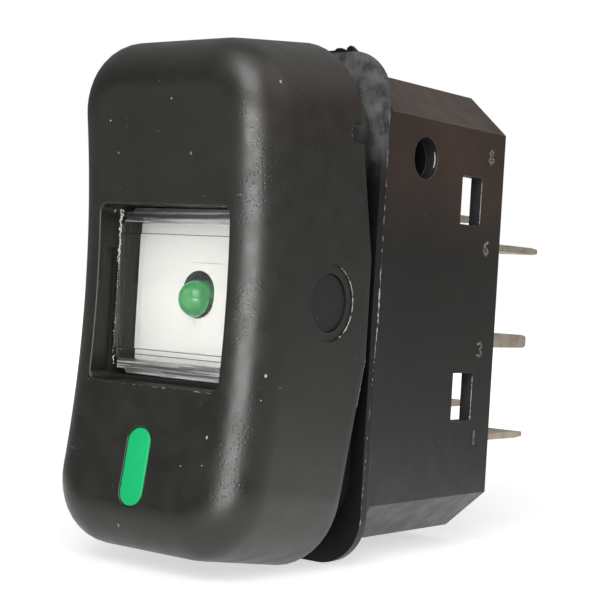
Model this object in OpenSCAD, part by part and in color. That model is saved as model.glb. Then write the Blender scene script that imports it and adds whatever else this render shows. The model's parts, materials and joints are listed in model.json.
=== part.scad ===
// Three-position rocker switch with a lit window, for a panel cut-out.
// X is the width, Y the depth with the front towards -Y, Z the height.
// The origin is the middle of the panel seat, the rear face of the housing rim.

/* [Rocker] */
// Width of the rocker
rocker_w = 23.2; // [22.8:0.1:24.4]
// Height of the rocker at its back corners
rocker_h = 48.5; // [46.8:0.1:50]
// Draft of the upper and lower walls, in degrees
rocker_draft = 7; // [4:0.5:7.5]
// Radius of the corners seen from the front
rocker_corner_r = 6.4; // [6:0.1:8]
// Radius round the front edge
rocker_fillet = 4; // [2:0.1:4.5]
// Thickness of the side, upper and lower walls
rocker_wall = 1.5; // [1.2:0.1:1.7]
// Thickness of the front wall
rocker_front_wall = 2; // [1.6:0.1:2.4]
// From the panel seat to the middle of the front face
front_reach = 18.2; // [17.6:0.1:20]
// How far the ends of the face stand in front of its middle
front_dish = 1.9; // [1:0.1:3]
// Lean of the face, its lower end further forward, in degrees
face_lean = 0.9; // [0:0.1:1.5]
// How far the front edge is set up against the back edge
front_lift = 0.15; // [0:0.05:0.3]
// Gap between the rim and the back edge of the rocker
back_gap = 1; // [0.9:0.1:1.6]
// Slope of the back edge away from the rim, in degrees
back_slope = 12.5; // [12:0.5:16]
// Half length of the straight middle of the back edge
back_flat = 4.6; // [3:0.1:4.8]
// Width of the notches in the back edge
notch_w = 1.8; // [1:0.1:2.4]
// Depth of the notches in the back edge
notch_depth = 2; // [1.2:0.1:3]
// Height of the notches above the middle
notch_z = 15.9; // [12:0.1:17]

/* [Window] */
// From the rocker's sides to the window
window_side = 3.9; // [3.8:0.1:5]
// Height of the window in the rocker
window_h = 16.4; // [14:0.1:17.5]
// Corner radius of the window
window_r = 0.8; // [0.4:0.1:1.2]
// Wall of the sleeve behind the window
sleeve_wall = 0.8; // [0.6:0.1:0.9]
// From the middle of the face back to the lens
lens_recess = 2.4; // [2:0.1:2.6]
// Thickness of the lens
lens_t = 2; // [1.6:0.1:2.1]
// Height of each stepped edge of the lens
lens_step_h = 2.4; // [1.5:0.1:3.5]
// Depth of the two steps in the lens
lens_step_d = 0.6; // [0.4:0.1:0.6]
// Thickness of the lens between its feet
lens_plate_t = 1.2; // [1.1:0.1:1.4]
// Height of the feet of the lens
lens_foot_h = 0.9; // [0.8:0.1:1.2]
// Width of the cut corners of the lens
lens_cut_w = 1.3; // [0.8:0.1:1.6]
// Height of the cut corners of the lens
lens_cut_h = 0.4; // [0.3:0.05:0.5]
// Height of the ledges that the lens rests on
ledge_h = 0.9; // [0.6:0.1:1.2]
// Thickness of the ledges
ledge_t = 0.8; // [0.6:0.1:0.9]

/* [Indicator] */
// Width of the green bar
bar_w = 3; // [2:0.1:4]
// Length of the green bar
bar_len = 6.9; // [5:0.1:8]
// Place of the green bar across the face
bar_x = -0.3; // [-2:0.1:2]
// From the lower end of the rocker up to the middle of the green bar
bar_rise = 9.15; // [8.25:0.05:9.65]
// Width of the bar's flange behind the face
bar_flange = 0.7; // [0.5:0.1:0.9]
// Thickness of the bar's flange
bar_flange_t = 0.8; // [0.6:0.1:1.2]

/* [Bearing] */
// How far the rocker turns each way, in degrees
swing = 10; // [8:0.5:10]
// From the panel seat forward to the pivot
pivot_y = 8.15; // [8.1:0.05:8.4]
// Height of the pivot above the middle
pivot_z = 0.35; // [0:0.05:0.5]
// Diameter of the pivot pins
pin_d = 5.14; // [4.4:0.02:5.6]
// Clearance all round the pins in the rocker
pin_clear = 0.08; // [0.04:0.01:0.1]
// Diameter of the sink round the pins
sink_d = 7; // [6.2:0.1:7.6]
// Depth of the sink round the pins
sink_depth = 0.6; // [0.4:0.1:0.8]
// How far the pin ends lie below the rocker's side
pin_inset = 0.4; // [0.2:0.1:0.6]
// Thickness of the bearing cheeks
cheek_t = 0.9; // [0.8:0.05:1]
// Radius of the cheek round the pin
cheek_r = 3.9; // [3.4:0.1:4]
// Width of the cheek at its foot
cheek_foot = 12; // [9:0.5:16]
// Gap between the cheeks and the rocker's sides
cheek_gap = 0.4; // [0.3:0.05:0.5]
// Thickness of the tower's flange on the rim
flange_t = 1; // [0.8:0.1:1.2]
// Height of the tower's flange
flange_h = 42.4; // [40:0.1:42.6]
// Corner radius of the tower's flange
flange_r = 5; // [4:0.1:6]
// How far the collar stands out in front of the rim
collar_reach = 4.5; // [3:0.1:5]
// Thickness of the deck inside the rim
deck_t = 1.6; // [1.2:0.1:2]
// Wall of the frame's skirt in the housing
skirt_wall = 0.9; // [0.7:0.05:0.95]

/* [Housing] */
// How far the housing's sides lie inside the rocker's
body_inset = 1.33; // [1.1:0.01:1.4]
// Height of the housing
body_h = 46; // [45.6:0.1:46.4]
// From the panel seat to the rear face
body_depth = 23.2; // [22:0.1:27]
// Chamfer of the long edges, across
chamfer_x = 4.57; // [3.6:0.01:5]
// Chamfer of the long edges, up and down
chamfer_z = 4.12; // [3.4:0.01:4.6]
// Wall of the housing
body_wall = 1.35; // [1.25:0.01:1.4]
// Thickness of the rim
rim_t = 1; // [0.8:0.1:1.4]
// How far the rim stands out at the sides
rim_side = 0.95; // [0.7:0.05:1.1]
// How far the rim stands out above and below
rim_end = 1.4; // [1:0.05:1.8]
// Corner radius of the rim
rim_r = 4.7; // [4.2:0.1:6.5]
// Width of the flat seat behind the rim
seat_ledge = 0.5; // [0.3:0.05:0.6]
// Width of the two gate nubs on the rim's upper edge
nub_w = 0.8; // [0.6:0.1:1]
// Place of the lower nub across the rim
nub_x = 5.4; // [5:0.05:5.6]
// From the lower to the higher nub
nub_pitch = 1.3; // [1.1:0.1:1.4]
// Height of the lower nub above the rim
nub_low = 0.25; // [0.1:0.05:0.3]
// Height of the higher nub above the rim
nub_high = 0.45; // [0.2:0.05:0.5]
// Length of the ramp from the rim down to the housing
ramp_len = 1.8; // [1:0.1:3]
// Diameter of the round hole in each side
side_hole_d = 4.18; // [3:0.02:4.4]
// From the panel seat to the round hole
side_hole_y = 8.06; // [7.9:0.02:8.1]
// Height of the round hole above the middle
side_hole_z = 15; // [13.5:0.1:15.6]
// Length of the side windows along the depth
slot_len = 3.85; // [3:0.05:4.5]
// Height of the side windows
slot_h = 4.95; // [4:0.05:5.5]
// From the panel seat to the upper side window
slot_upper_y = 17; // [16.2:0.1:18.5]
// Height of the upper side window above the middle
slot_upper_z = 11.5; // [11:0.1:12.5]
// From the panel seat to the lower side window
slot_lower_y = 17.4; // [16.2:0.1:18.5]
// Depth of the lower side window below the middle
slot_lower_drop = 8.7; // [8.2:0.1:9]
// Height of the ribs that stop the terminal base
stop_h = 1.2; // [0.8:0.1:1.6]
// Width of the stop ribs
stop_w = 8; // [4:0.5:9]
// Thickness of the stop ribs
stop_t = 1.2; // [0.8:0.1:1.6]

/* [Terminals] */
// From the panel seat to the front of the terminal base
base_front = 10.3; // [10.3:0.1:10.6]
// Thickness of the terminal base
base_t = 3; // [2.4:0.1:3.2]
// From the housing's sides to the middle of each column
pole_side = 4.77; // [4.75:0.01:4.87]
// Width of the switch blades
blade_w = 6.3; // [4.8:0.1:6.4]
// Thickness of the throw blades
throw_t = 0.8; // [0.6:0.05:1]
// Thickness of the common blades, which are folded double
common_t = 1.45; // [1:0.05:1.6]
// Height of the upper throw blades
upper_z = 7.1; // [6.6:0.1:7.4]
// Drop of the common blades below the middle
common_drop = 2.95; // [2.4:0.05:3.4]
// Drop of the lower throw blades below the middle
lower_drop = 13.3; // [12.6:0.1:13.6]
// How far the upper blades stand out behind the housing
upper_reach = 12.5; // [8:0.1:14]
// How far the common blades stand out behind the housing
common_reach = 11.1; // [8:0.1:14]
// How far the lower blades stand out behind the housing
lower_reach = 11.4; // [8:0.1:14]
// Length of the bevel at the blade tips
tip_len = 1.3; // [0.8:0.1:2]
// Thickness left at the point of a blade
tip_t = 0.3; // [0.2:0.05:0.5]
// Diameter of the hole in each blade
blade_hole_d = 1.6; // [1:0.1:2.2]
// From the blade's tip to its hole
blade_hole_back = 4; // [3:0.1:6]
// Width of the pads and of the contact bridges
pad_w = 4; // [3.2:0.1:4.4]
// Edge of a pad round its contact button
pad_edge = 0.4; // [0.2:0.1:0.8]
// Width of the lamp blades
lamp_w = 4.8; // [4:0.1:4.9]
// Height of the lamp blades above and below the middle
lamp_z = 10.3; // [10.1:0.1:10.6]
// How far the lamp blades stand out behind the housing
lamp_reach = 9; // [6:0.1:12]

/* [Contacts] */
// Distance of the contacts from the middle
contact_z = 9; // [8.6:0.1:9.4]
// Diameter of the contact buttons
contact_d = 3; // [2.4:0.1:3.4]
// Height of the moving buttons
moving_h = 0.5; // [0.3:0.05:0.6]
// Height of the fixed buttons
fixed_h = 0.4; // [0.25:0.05:0.4]
// Thickness of the bridge strip
bridge_t = 0.8; // [0.6:0.05:0.9]
// From the bridge's axle back to the pads
axle_rise = 1.5; // [1.5:0.05:1.7]
// Diameter of the axle that the bridge rocks on
axle_d = 1.2; // [1:0.05:1.4]
// Clearance round the axle
axle_clear = 0.06; // [0.03:0.01:0.1]
// From the axle forward to the back of the strip
strip_set = 0.2; // [0.1:0.05:0.3]
// Half length of the saddle in the middle of the bridge
saddle_half = 3.4; // [3:0.1:4]
// Fall of the saddle towards its middle, in degrees
saddle_slope = 5; // [3:0.5:6]
// From the axle forward to the middle of the saddle
saddle_rise = 1.2; // [1.1:0.05:1.4]

/* [Plungers] */
// Diameter of the plungers
plunger_d = 2.84; // [2.4:0.02:3]
// Clearance round the plungers in their tubes
plunger_clear = 0.08; // [0.04:0.01:0.1]
// Wall of the plunger tubes
tube_wall = 0.7; // [0.6:0.05:0.72]
// From the panel seat back to the ends of the tubes
tube_end = 2.6; // [2:0.1:3.2]
// Length of the plunger inside its tube
plunger_hold = 3.1; // [2.4:0.1:4]
// Gap between the plunger and the saddle at rest
plunger_gap = 0.1; // [0.06:0.01:0.2]
// Wire diameter of the plunger springs
wire_d = 0.36; // [0.25:0.01:0.45]
// Outer diameter of the plunger springs
spring_d = 2.5; // [2:0.05:2.6]
// Turns of the plunger springs
spring_turns = 7; // [5:1:10]

/* [Lamps] */
// Thickness of the lamp board
board_t = 1; // [0.8:0.1:1.2]
// Half height of the lamp board
board_half = 11.5; // [11.4:0.1:12]
// Width of the board's arms under the lamps
arm_w = 4.6; // [4:0.1:5]
// From the panel seat forward to the seat of the lamp in the window
lamp_seat = 8.6; // [8.4:0.1:8.8]
// From the panel seat forward to the seat of the lamp behind the bar
indicator_seat = 6.2; // [5.8:0.1:6.6]
// Diameter of the lamps
lamp_d = 3.5; // [2.8:0.1:3.6]
// Diameter of the lamps' flanges
lamp_flange_d = 4; // [3.8:0.1:4.2]
// Height of the lamps' flanges
lamp_flange_t = 0.8; // [0.6:0.1:1]
// Height of the lamps up to the middle of their domes
lamp_h = 3.9; // [3:0.1:4]
// Diameter of the lamp leads
lead_d = 0.5; // [0.4:0.05:0.6]
// Length of the lamp leads along the board
lead_len = 3; // [2:0.1:3.4]
// Length of the resistors
chip_len = 3.2; // [2:0.1:4]
// Width of the resistors
chip_w = 1.6; // [1.2:0.1:2]
// Thickness of the resistors
chip_t = 0.6; // [0.4:0.1:0.8]
// From the panel seat to the resistors
chip_y = 4.2; // [2.5:0.1:6]
// Distance of the resistors from the middle
chip_z = 5.5; // [3:0.1:8]
// From the middle of the face back to the carrier's plate
plate_depth = 5.8; // [5.4:0.1:6]
// Thickness of the carrier's plate
carrier_t = 0.8; // [0.6:0.1:1]
// How far the carrier's plate reaches into the sleeve
carrier_plug = 0.8; // [0.5:0.1:1]
// Thickness of the floor under the plunger springs
carrier_floor = 0.9; // [0.6:0.1:1.2]
// Width of the carrier's slot round the lamp
lamp_slot_w = 3.8; // [3.7:0.1:4.2]
// Height of the carrier's slot round the lamp
lamp_slot_h = 5.4; // [5.3:0.1:6]

/* [Hidden] */

// Quality of curves
$fn = 48;
// Points on each corner of a lofted outline, and along each of its straight sides
corner_steps = 8;
side_steps = 14;
// Steps of the lofted front edge
fillet_steps = 5;
// Sides and rings of the spring wire
wire_sides = 6;
rings_per_turn = 12;

// Clearance of pieces that are pushed into each other
fit = 0.1;
// Overshoot of cuts
over = 1;
// Height at which the dish of the face is measured
dish_ref = 20;

half_w = rocker_w / 2;
bar_drop = rocker_h / 2 - bar_rise;
window_w = rocker_w - 2 * window_side;
body_w = rocker_w - 2 * body_inset;
pole_x = body_w / 2 - pole_side;
back_ref_y = -(rim_t + back_gap) - tan(back_slope) * (rocker_h / 2 - back_flat);
face_mid = -front_reach;
sleeve_end = face_mid + plate_depth + carrier_plug;
lens_front = face_mid + lens_recess;
lens_back = lens_front + lens_t;
plate_back = sleeve_end + carrier_t;
cheek_out = half_w - rocker_wall - cheek_gap;
pin_end = half_w - pin_inset;
deck_front = -rim_t - flange_t;
deck_back = -rim_t + deck_t;
pad_y = base_front - throw_t;
axle_y = pad_y - axle_rise;
strip_back = axle_y - strip_set;
base_back = base_front + base_t;
bore_d = plunger_d + 2 * plunger_clear;
tube_d = bore_d + 2 * tube_wall;
bore_floor = plate_back + carrier_floor;
plunger_back = tube_end - plunger_hold;
plunger_tip = axle_y - saddle_rise - plunger_gap;
skirt_in = body_w / 2 - body_wall - fit - skirt_wall;
tube_sweep = tube_d / 2 + (tube_end + pivot_y) * sin(swing) + 4 * fit;
lamp_rows = [[0, lamp_seat], [-bar_drop, indicator_seat]];

// Distance of the front face from the seat at height z
function face_y(z) = face_mid - front_dish * pow(z / dish_ref, 2) + tan(face_lean) * z;
// Place of the back edge at height z
function back_y(z) = -(rim_t + back_gap) - tan(back_slope) * max(abs(z) - back_flat, 0);
// Half height of the rocker at depth y
function half_h(y) = rocker_h / 2 + tan(rocker_draft) * (y - back_ref_y);

// Right half of a rounded rectangle, from its upper to its lower edge
function half_outline(a, b, r) = concat(
  [for (i = [0:corner_steps]) let (t = 90 - 90 * i / corner_steps)
    [a - r + r * cos(t), b - r + r * sin(t)]],
  [for (j = [1:side_steps - 1]) [a, (b - r) * (1 - 2 * j / side_steps)]],
  [for (i = [0:corner_steps]) let (t = -90 * i / corner_steps)
    [a - r + r * cos(t), r - b + r * sin(t)]]
);
// Whole outline, with mirrored points at equal heights
function outline(a, b, r) = let (h = half_outline(a, b, r))
  concat(h, [for (i = [len(h) - 1:-1:0]) [-h[i][0], h[i][1]]]);

// Octagon of the housing, moved in by t
function octagon(t) =
  let (
    a = body_w / 2 - t,
    b = body_h / 2 - t,
    slant = sqrt(pow(chamfer_x, 2) + pow(chamfer_z, 2)),
    cx = chamfer_x - t * (1 - (slant - chamfer_x) / chamfer_z),
    cz = chamfer_z - t * (1 - (slant - chamfer_z) / chamfer_x)
  )
  [
    [a, b - cz], [a - cx, b], [cx - a, b], [-a, b - cz],
    [-a, cz - b], [cx - a, -b], [a - cx, -b], [a, cz - b]
  ];

// Extrusion of an XZ shape from y0 to y1
module along_y(y0, y1) {
  translate([0, y1, 0]) rotate([90, 0, 0]) linear_extrude(y1 - y0) children();
}

// Extrusion of a YZ shape from x0 to x1
module along_x(x0, x1) {
  translate([x0, 0, 0]) rotate([90, 0, 90]) linear_extrude(x1 - x0) children();
}

// Cylinder along X, starting at the given point
module rod_x(at, d, len) {
  translate(at) rotate([0, 90, 0]) cylinder(d = d, h = len);
}

// Cylinder along Y, starting at the given point
module rod_y(at, d, len) {
  translate(at) rotate([-90, 0, 0]) cylinder(d = d, h = len);
}

// Box from its lowest to its highest corner
module box(low, high) {
  translate(low) cube(high - low);
}

// Rounded rectangle with true arcs
module round_rect(w, h, r) {
  square([w - 2 * r, h], center = true);
  square([w, h - 2 * r], center = true);
  for (x = [-1, 1], y = [-1, 1]) translate([x * (w / 2 - r), y * (h / 2 - r)]) circle(r);
}

// Stadium standing on end
module stadium(w, len) {
  square([w, len - w], center = true);
  for (y = [-1, 1]) translate([0, y * (len - w) / 2]) circle(d = w);
}

// Solid through a row of rings that have mirrored points at equal heights
module loft(rings) {
  n = len(rings[0]);
  last = (len(rings) - 1) * n;
  points = [for (ring = rings) each ring];
  sides = [
    for (k = [0:len(rings) - 2], i = [0:n - 1])
      let (a = k * n + i, b = k * n + (i + 1) % n, c = b + n, d = a + n)
      each [[a, d, c], [a, c, b]]
  ];
  front = [for (i = [0:n / 2 - 2]) each [[i, i + 1, n - 2 - i], [i, n - 2 - i, n - 1 - i]]];
  back = [for (f = front) [last + f[2], last + f[1], last + f[0]]];
  polyhedron(concat(points), concat(sides, front, back));
}

// Outside of the rocker without its openings
module rocker_outside() {
  edge = [
    for (i = [0:fillet_steps])
      let (
        turn = 90 * i / fillet_steps,
        inset = rocker_fillet * (1 - sin(turn)),
        depth = rocker_fillet * (1 - cos(turn)),
        b = half_h(face_y(rocker_h / 2) + depth) - inset
      )
      [for (p = outline(half_w - inset, b, rocker_corner_r - inset)) let (z = p[1] + front_lift)
        [p[0], face_y(z) + depth, z]]
  ];
  rear = [for (p = outline(half_w, rocker_h / 2, rocker_corner_r)) [p[0], back_y(p[1]), p[1]]];
  loft(concat(edge, [rear]));
}

// Hollow of the rocker, open behind
module rocker_inside() {
  a = half_w - rocker_wall;
  r = rocker_corner_r - rocker_wall;
  b_front = half_h(face_y(rocker_h / 2) + rocker_front_wall) - rocker_wall;
  b_back = half_h(over) - rocker_wall;
  first = [for (p = outline(a, b_front, r)) let (z = p[1] + front_lift)
    [p[0], face_y(z) + rocker_front_wall, z]];
  last = [for (p = outline(a, b_back, r)) [p[0], over, p[1]]];
  loft([first, last]);
}

// Bearing hole with its sink, on one side
module bearing_hole(side) {
  depth = rocker_wall + over;
  hole_x = side > 0 ? half_w - depth : -half_w - over;
  sink_x = side > 0 ? half_w - sink_depth : -half_w - over;
  rod_x([hole_x, -pivot_y, pivot_z], pin_d + 2 * pin_clear, depth + over);
  rod_x([sink_x, -pivot_y, pivot_z], sink_d, sink_depth + over);
}

// Notch in the back edge, through both sides
module back_notch() {
  y = back_y(notch_z) - notch_depth + notch_w / 2;
  rod_x([-half_w - over, y, notch_z], notch_w, rocker_w + 2 * over);
  box([-half_w - over, y, notch_z - notch_w / 2], [half_w + over, over, notch_z + notch_w / 2]);
}

module rocker_cap() {
  sleeve_front = face_mid + rocker_front_wall / 2;
  ledge_x = (window_w + sleeve_wall) / 2;
  ledge_low = window_h / 2 - ledge_h;
  ledge_high = (window_h + sleeve_wall) / 2;
  color("#343432") {
    difference() {
      union() {
        difference() {
          rocker_outside();
          rocker_inside();
        }
        along_y(sleeve_front, sleeve_end)
          square([window_w + 2 * sleeve_wall, window_h + 2 * sleeve_wall], center = true);
      }
      along_y(face_mid - 2 * front_dish, sleeve_end + over) round_rect(window_w, window_h, window_r);
      along_y(face_y(-bar_drop) - 2 * front_dish, 0) translate([bar_x, -bar_drop])
        stadium(bar_w + fit, bar_len + fit);
      for (side = [-1, 1]) bearing_hole(side);
      back_notch();
    }
    for (up = [-1, 1])
      box(
        [-ledge_x, lens_back, up > 0 ? ledge_low : -ledge_high],
        [ledge_x, lens_back + ledge_t, up > 0 ? ledge_high : -ledge_low]
      );
  }
}

module symbol_lens() {
  w = window_w - 2 * fit;
  h = window_h - 2 * fit;
  color("#dfe6e4", 0.5) difference() {
    union() {
      along_y(lens_front + lens_step_d, lens_back) round_rect(w, h, window_r - fit);
      along_y(lens_front + lens_step_d / 2, lens_front + lens_plate_t)
        square([w, h - 1.2 * lens_step_h], center = true);
      along_y(lens_front, lens_front + lens_plate_t) square([w, h - 2 * lens_step_h], center = true);
    }
    along_y(lens_front + lens_plate_t, lens_back + over)
      square([w + 2 * over, h - 2 * lens_foot_h], center = true);
    along_y(lens_front - over, lens_back + over)
      for (x = [-1, 1], z = [-1, 1]) translate([x * w / 2, z * h / 2])
        square([2 * lens_cut_w, 2 * lens_cut_h], center = true);
  }
}

module indicator_bar() {
  flange_y = face_y(bar_len / 2 + bar_flange - bar_drop) + rocker_front_wall + fit;
  color("#25c077") {
    intersection() {
      rocker_outside();
      along_y(face_y(-bar_drop) - 2 * front_dish, flange_y + bar_flange_t) translate([bar_x, -bar_drop])
        stadium(bar_w, bar_len);
    }
    along_y(flange_y, flange_y + bar_flange_t) translate([bar_x, -bar_drop])
      stadium(bar_w + 2 * bar_flange, bar_len + 2 * bar_flange);
  }
}

module plunger_carrier() {
  color("#f2f2ec") difference() {
    union() {
      along_y(sleeve_end - carrier_plug, sleeve_end)
        round_rect(window_w - 2 * fit, window_h - 2 * fit, window_r - fit);
      along_y(sleeve_end, plate_back)
        square([window_w + sleeve_wall, window_h + sleeve_wall], center = true);
      for (side = [-1, 1]) rod_y([side * pole_x, plate_back, 0], tube_d, tube_end - plate_back);
    }
    along_y(sleeve_end - carrier_plug - over, plate_back + over) stadium(lamp_slot_w, lamp_slot_h);
    for (side = [-1, 1]) rod_y([side * pole_x, bore_floor, 0], bore_d, tube_end - bore_floor + over);
  }
}

module plunger(side) {
  color("#d9d4c6") translate([side * pole_x, 0, 0]) {
    rod_y([0, plunger_back, 0], plunger_d, plunger_tip - plunger_d / 2 - plunger_back);
    translate([0, plunger_tip - plunger_d / 2, 0]) sphere(d = plunger_d);
  }
}

module plunger_spring(side) {
  coil_r = (spring_d - wire_d) / 2;
  start = bore_floor + wire_d / 2;
  rise = plunger_back - wire_d / 2 - start;
  rings = spring_turns * rings_per_turn;
  points = [
    for (k = [0:rings], j = [0:wire_sides - 1])
      let (
        turn = 360 * k / rings_per_turn,
        round = 360 * j / wire_sides,
        r = coil_r + wire_d / 2 * cos(round)
      )
      [r * cos(turn), start + rise * k / rings + wire_d / 2 * sin(round), r * sin(turn)]
  ];
  walls = [
    for (k = [0:rings - 1], j = [0:wire_sides - 1])
      let (
        a = k * wire_sides + j,
        b = k * wire_sides + (j + 1) % wire_sides,
        c = b + wire_sides,
        d = a + wire_sides
      )
      each [[a, d, c], [a, c, b]]
  ];
  first = [for (j = [0:wire_sides - 1]) j];
  last = [for (j = [wire_sides - 1:-1:0]) rings * wire_sides + j];
  color("#a9adb0") translate([side * pole_x, 0, 0]) polyhedron(points, concat(walls, [first], [last]));
}

module housing() {
  rim_w = body_w + 2 * rim_side;
  rim_h = body_h + 2 * rim_end;
  thin = 0.01;
  color("#3a3834") difference() {
    union() {
      along_y(0, body_depth) polygon(octagon(0));
      along_y(-rim_t, 0) round_rect(rim_w, rim_h, rim_r);
      along_y(2 * fit - rim_t, -2 * fit) translate([nub_x, rim_h / 2]) {
        polygon([
          [-nub_w, -rim_end / 2], [-nub_w, -nub_low / 2], [-nub_w / 3, nub_low],
          [nub_w / 3, nub_low], [nub_w, -nub_low / 2], [nub_w, -rim_end / 2]
        ]);
        translate([nub_pitch, 0])
          polygon([
            [-nub_w / 2, -rim_end / 2], [-nub_w / 2, nub_high / 2], [0, nub_high],
            [nub_w, -nub_high / 2], [nub_w, -rim_end / 2]
          ]);
      }
      hull() {
        along_y(0, thin) round_rect(rim_w - 2 * seat_ledge, rim_h - 2 * seat_ledge, rim_r - seat_ledge);
        along_y(ramp_len, ramp_len + thin) polygon(octagon(0));
      }
    }
    difference() {
      along_y(-rim_t - over, body_depth + over) polygon(octagon(body_wall));
      for (up = [-1, 1])
        translate([0, base_back + stop_t / 2, up * body_h / 2])
          cube([stop_w, stop_t, 2 * (body_wall + stop_h)], center = true);
    }
    for (p = [[slot_upper_y, slot_upper_z], [slot_lower_y, -slot_lower_drop]])
      translate([0, p[0], p[1]]) cube([body_w + 2 * over, slot_len, slot_h], center = true);
    rod_x([-body_w / 2 - over, side_hole_y, side_hole_z], side_hole_d, body_w + 2 * over);
  }
}

// Side view of a bearing cheek
module cheek_shape() {
  polygon([
    [deck_front, -cheek_foot / 2], [deck_front, cheek_foot / 2],
    [-pivot_y, pivot_z + cheek_r], [-pivot_y, pivot_z - cheek_r]
  ]);
  translate([-pivot_y, pivot_z]) circle(cheek_r);
}

module bearing_frame() {
  color("#4a4a48") {
    difference() {
      union() {
        along_y(deck_front, -rim_t) round_rect(2 * cheek_out, flange_h, flange_r);
        along_y(-rim_t, base_front) polygon(octagon(body_wall + fit));
      }
      along_y(deck_back, base_front + over) polygon(octagon(body_wall + fit + skirt_wall));
      for (side = [-1, 1])
        box(
          [side * pole_x - skirt_in + pole_x, deck_front - over, -tube_sweep],
          [side * pole_x + skirt_in - pole_x, deck_back + over, tube_sweep]
        );
      box(
        [-board_t / 2 - fit, deck_front - over, -bar_drop - arm_w / 2 - fit],
        [board_t / 2 + fit, deck_back + over, board_half + fit]
      );
      rod_x([-body_w / 2, side_hole_y, side_hole_z], side_hole_d + 2 * fit, body_w);
    }
    along_y(-rim_t - collar_reach, deck_front) difference() {
      round_rect(2 * cheek_out, flange_h, flange_r);
      round_rect(2 * (cheek_out - cheek_t), flange_h - 2 * cheek_t, flange_r - cheek_t);
    }
    for (side = [-1, 1]) {
      low = side > 0 ? cheek_out - cheek_t : -cheek_out;
      along_x(low, low + cheek_t) cheek_shape();
      rod_x([side > 0 ? cheek_out : -pin_end, -pivot_y, pivot_z], pin_d, pin_end - cheek_out);
    }
  }
}

// Flat blade along Y with a bevelled tip
module blade(w, t, y0, y1) {
  intersection() {
    linear_extrude(t + over, center = true)
      polygon([
        [-w / 2, y0], [w / 2, y0], [w / 2, y1 - tip_len],
        [w / 2 - tip_len, y1], [tip_len - w / 2, y1], [-w / 2, y1 - tip_len]
      ]);
    along_x(-w, w)
      polygon([
        [y0, -t / 2], [y1 - tip_len, -t / 2], [y1, -tip_t / 2],
        [y1, tip_t / 2], [y1 - tip_len, t / 2], [y0, t / 2]
      ]);
  }
}

// Blade with its hole, from the pad to its reach behind the housing
module drilled_blade(w, t, y0, reach) {
  y1 = body_depth + reach;
  difference() {
    blade(w, t, y0, y1);
    translate([0, y1 - blade_hole_back, 0]) cylinder(d = blade_hole_d, h = t + 2 * over, center = true);
  }
}

module throw_terminal(side, z, reach) {
  pad_z = sign(z) * contact_z;
  low = min(z - throw_t / 2, pad_z - contact_d / 2 - pad_edge);
  high = max(z + throw_t / 2, pad_z + contact_d / 2 + pad_edge);
  color("#b4aca0") translate([side * pole_x, 0, 0]) {
    translate([0, 0, z]) drilled_blade(blade_w, throw_t, base_front, reach);
    box([-pad_w / 2, pad_y, z - throw_t / 2], [pad_w / 2, base_front + throw_t, z + throw_t / 2]);
    box([-pad_w / 2, pad_y, low], [pad_w / 2, base_front, high]);
  }
}

module common_terminal(side) {
  color("#b4aca0") translate([side * pole_x, 0, 0]) {
    neck_low = -common_drop - common_t / 2;
    translate([0, 0, -common_drop]) drilled_blade(blade_w, common_t, base_front, common_reach);
    box([-pad_w / 2, pad_y, neck_low], [pad_w / 2, base_front + throw_t, neck_low + common_t]);
    box([-pad_w / 2, pad_y, neck_low], [pad_w / 2, base_front, throw_t / 2]);
    box([-pad_w / 2, axle_y, -throw_t / 2], [pad_w / 2, pad_y + throw_t / 2, throw_t / 2]);
    rod_x([-pad_w / 2, axle_y, 0], axle_d, pad_w);
  }
}

module lamp_terminal(z) {
  fork_y = axle_y - axle_rise;
  color("#b4aca0") difference() {
    translate([0, 0, z]) drilled_blade(lamp_w, throw_t, fork_y, lamp_reach);
    box(
      [-board_t / 2 - fit / 2, fork_y - over, z - throw_t],
      [board_t / 2 + fit / 2, base_front, z + throw_t]
    );
  }
}

module terminal_base() {
  color("#24241f") difference() {
    along_y(base_front, base_back) polygon(octagon(body_wall + fit));
    for (side = [-1, 1], row = [[upper_z, throw_t], [-common_drop, common_t], [-lower_drop, throw_t]])
      translate([side * pole_x, 0, row[0]])
        cube([blade_w + fit, 4 * base_back, row[1] + fit], center = true);
    for (up = [-1, 1])
      translate([0, 0, up * lamp_z]) cube([lamp_w + fit, 4 * base_back, throw_t + fit], center = true);
  }
}

module fixed_contacts(side) {
  color("#c9c4b8")
    for (up = [-1, 1]) rod_y([side * pole_x, pad_y - fixed_h, up * contact_z], contact_d, fixed_h);
}

module moving_contacts(side) {
  color("#c9c4b8")
    for (up = [-1, 1]) rod_y([side * pole_x, strip_back, up * contact_z], contact_d, moving_h);
}

module contact_bridge(side) {
  middle = axle_y - saddle_rise;
  end = middle - saddle_half * tan(saddle_slope);
  half_len = contact_z + contact_d / 2;
  color("#b87f4a") translate([side * pole_x, 0, 0]) difference() {
    union() {
      along_x(-pad_w / 2, pad_w / 2)
        polygon([
          [strip_back, -saddle_half], [end, -saddle_half], [middle, 0],
          [end, saddle_half], [strip_back, saddle_half]
        ]);
      box([-pad_w / 2, strip_back - bridge_t, -half_len], [pad_w / 2, strip_back, half_len]);
      box([-pad_w / 2, strip_back - bridge_t, -axle_d], [pad_w / 2, axle_y, axle_d]);
    }
    rod_x([-pad_w / 2 - over, axle_y, 0], axle_d + 2 * axle_clear, pad_w + 2 * over);
  }
}

module lamp_board() {
  back = base_front - 2 * fit;
  color("#2f5d43") {
    box([-board_t / 2, deck_back, -bar_drop - arm_w / 2], [board_t / 2, back, board_half]);
    for (row = lamp_rows)
      box(
        [-board_t / 2, -row[1], row[0] - arm_w / 2],
        [board_t / 2, deck_back + over, row[0] + arm_w / 2]
      );
  }
}

module lamp(row) {
  translate([0, -row[1], row[0]]) {
    rod_y([0, -lamp_flange_t, 0], lamp_flange_d, lamp_flange_t);
    rod_y([0, -lamp_h, 0], lamp_d, lamp_h - lamp_flange_t / 2);
    translate([0, -lamp_h, 0]) sphere(d = lamp_d);
  }
}

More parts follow.
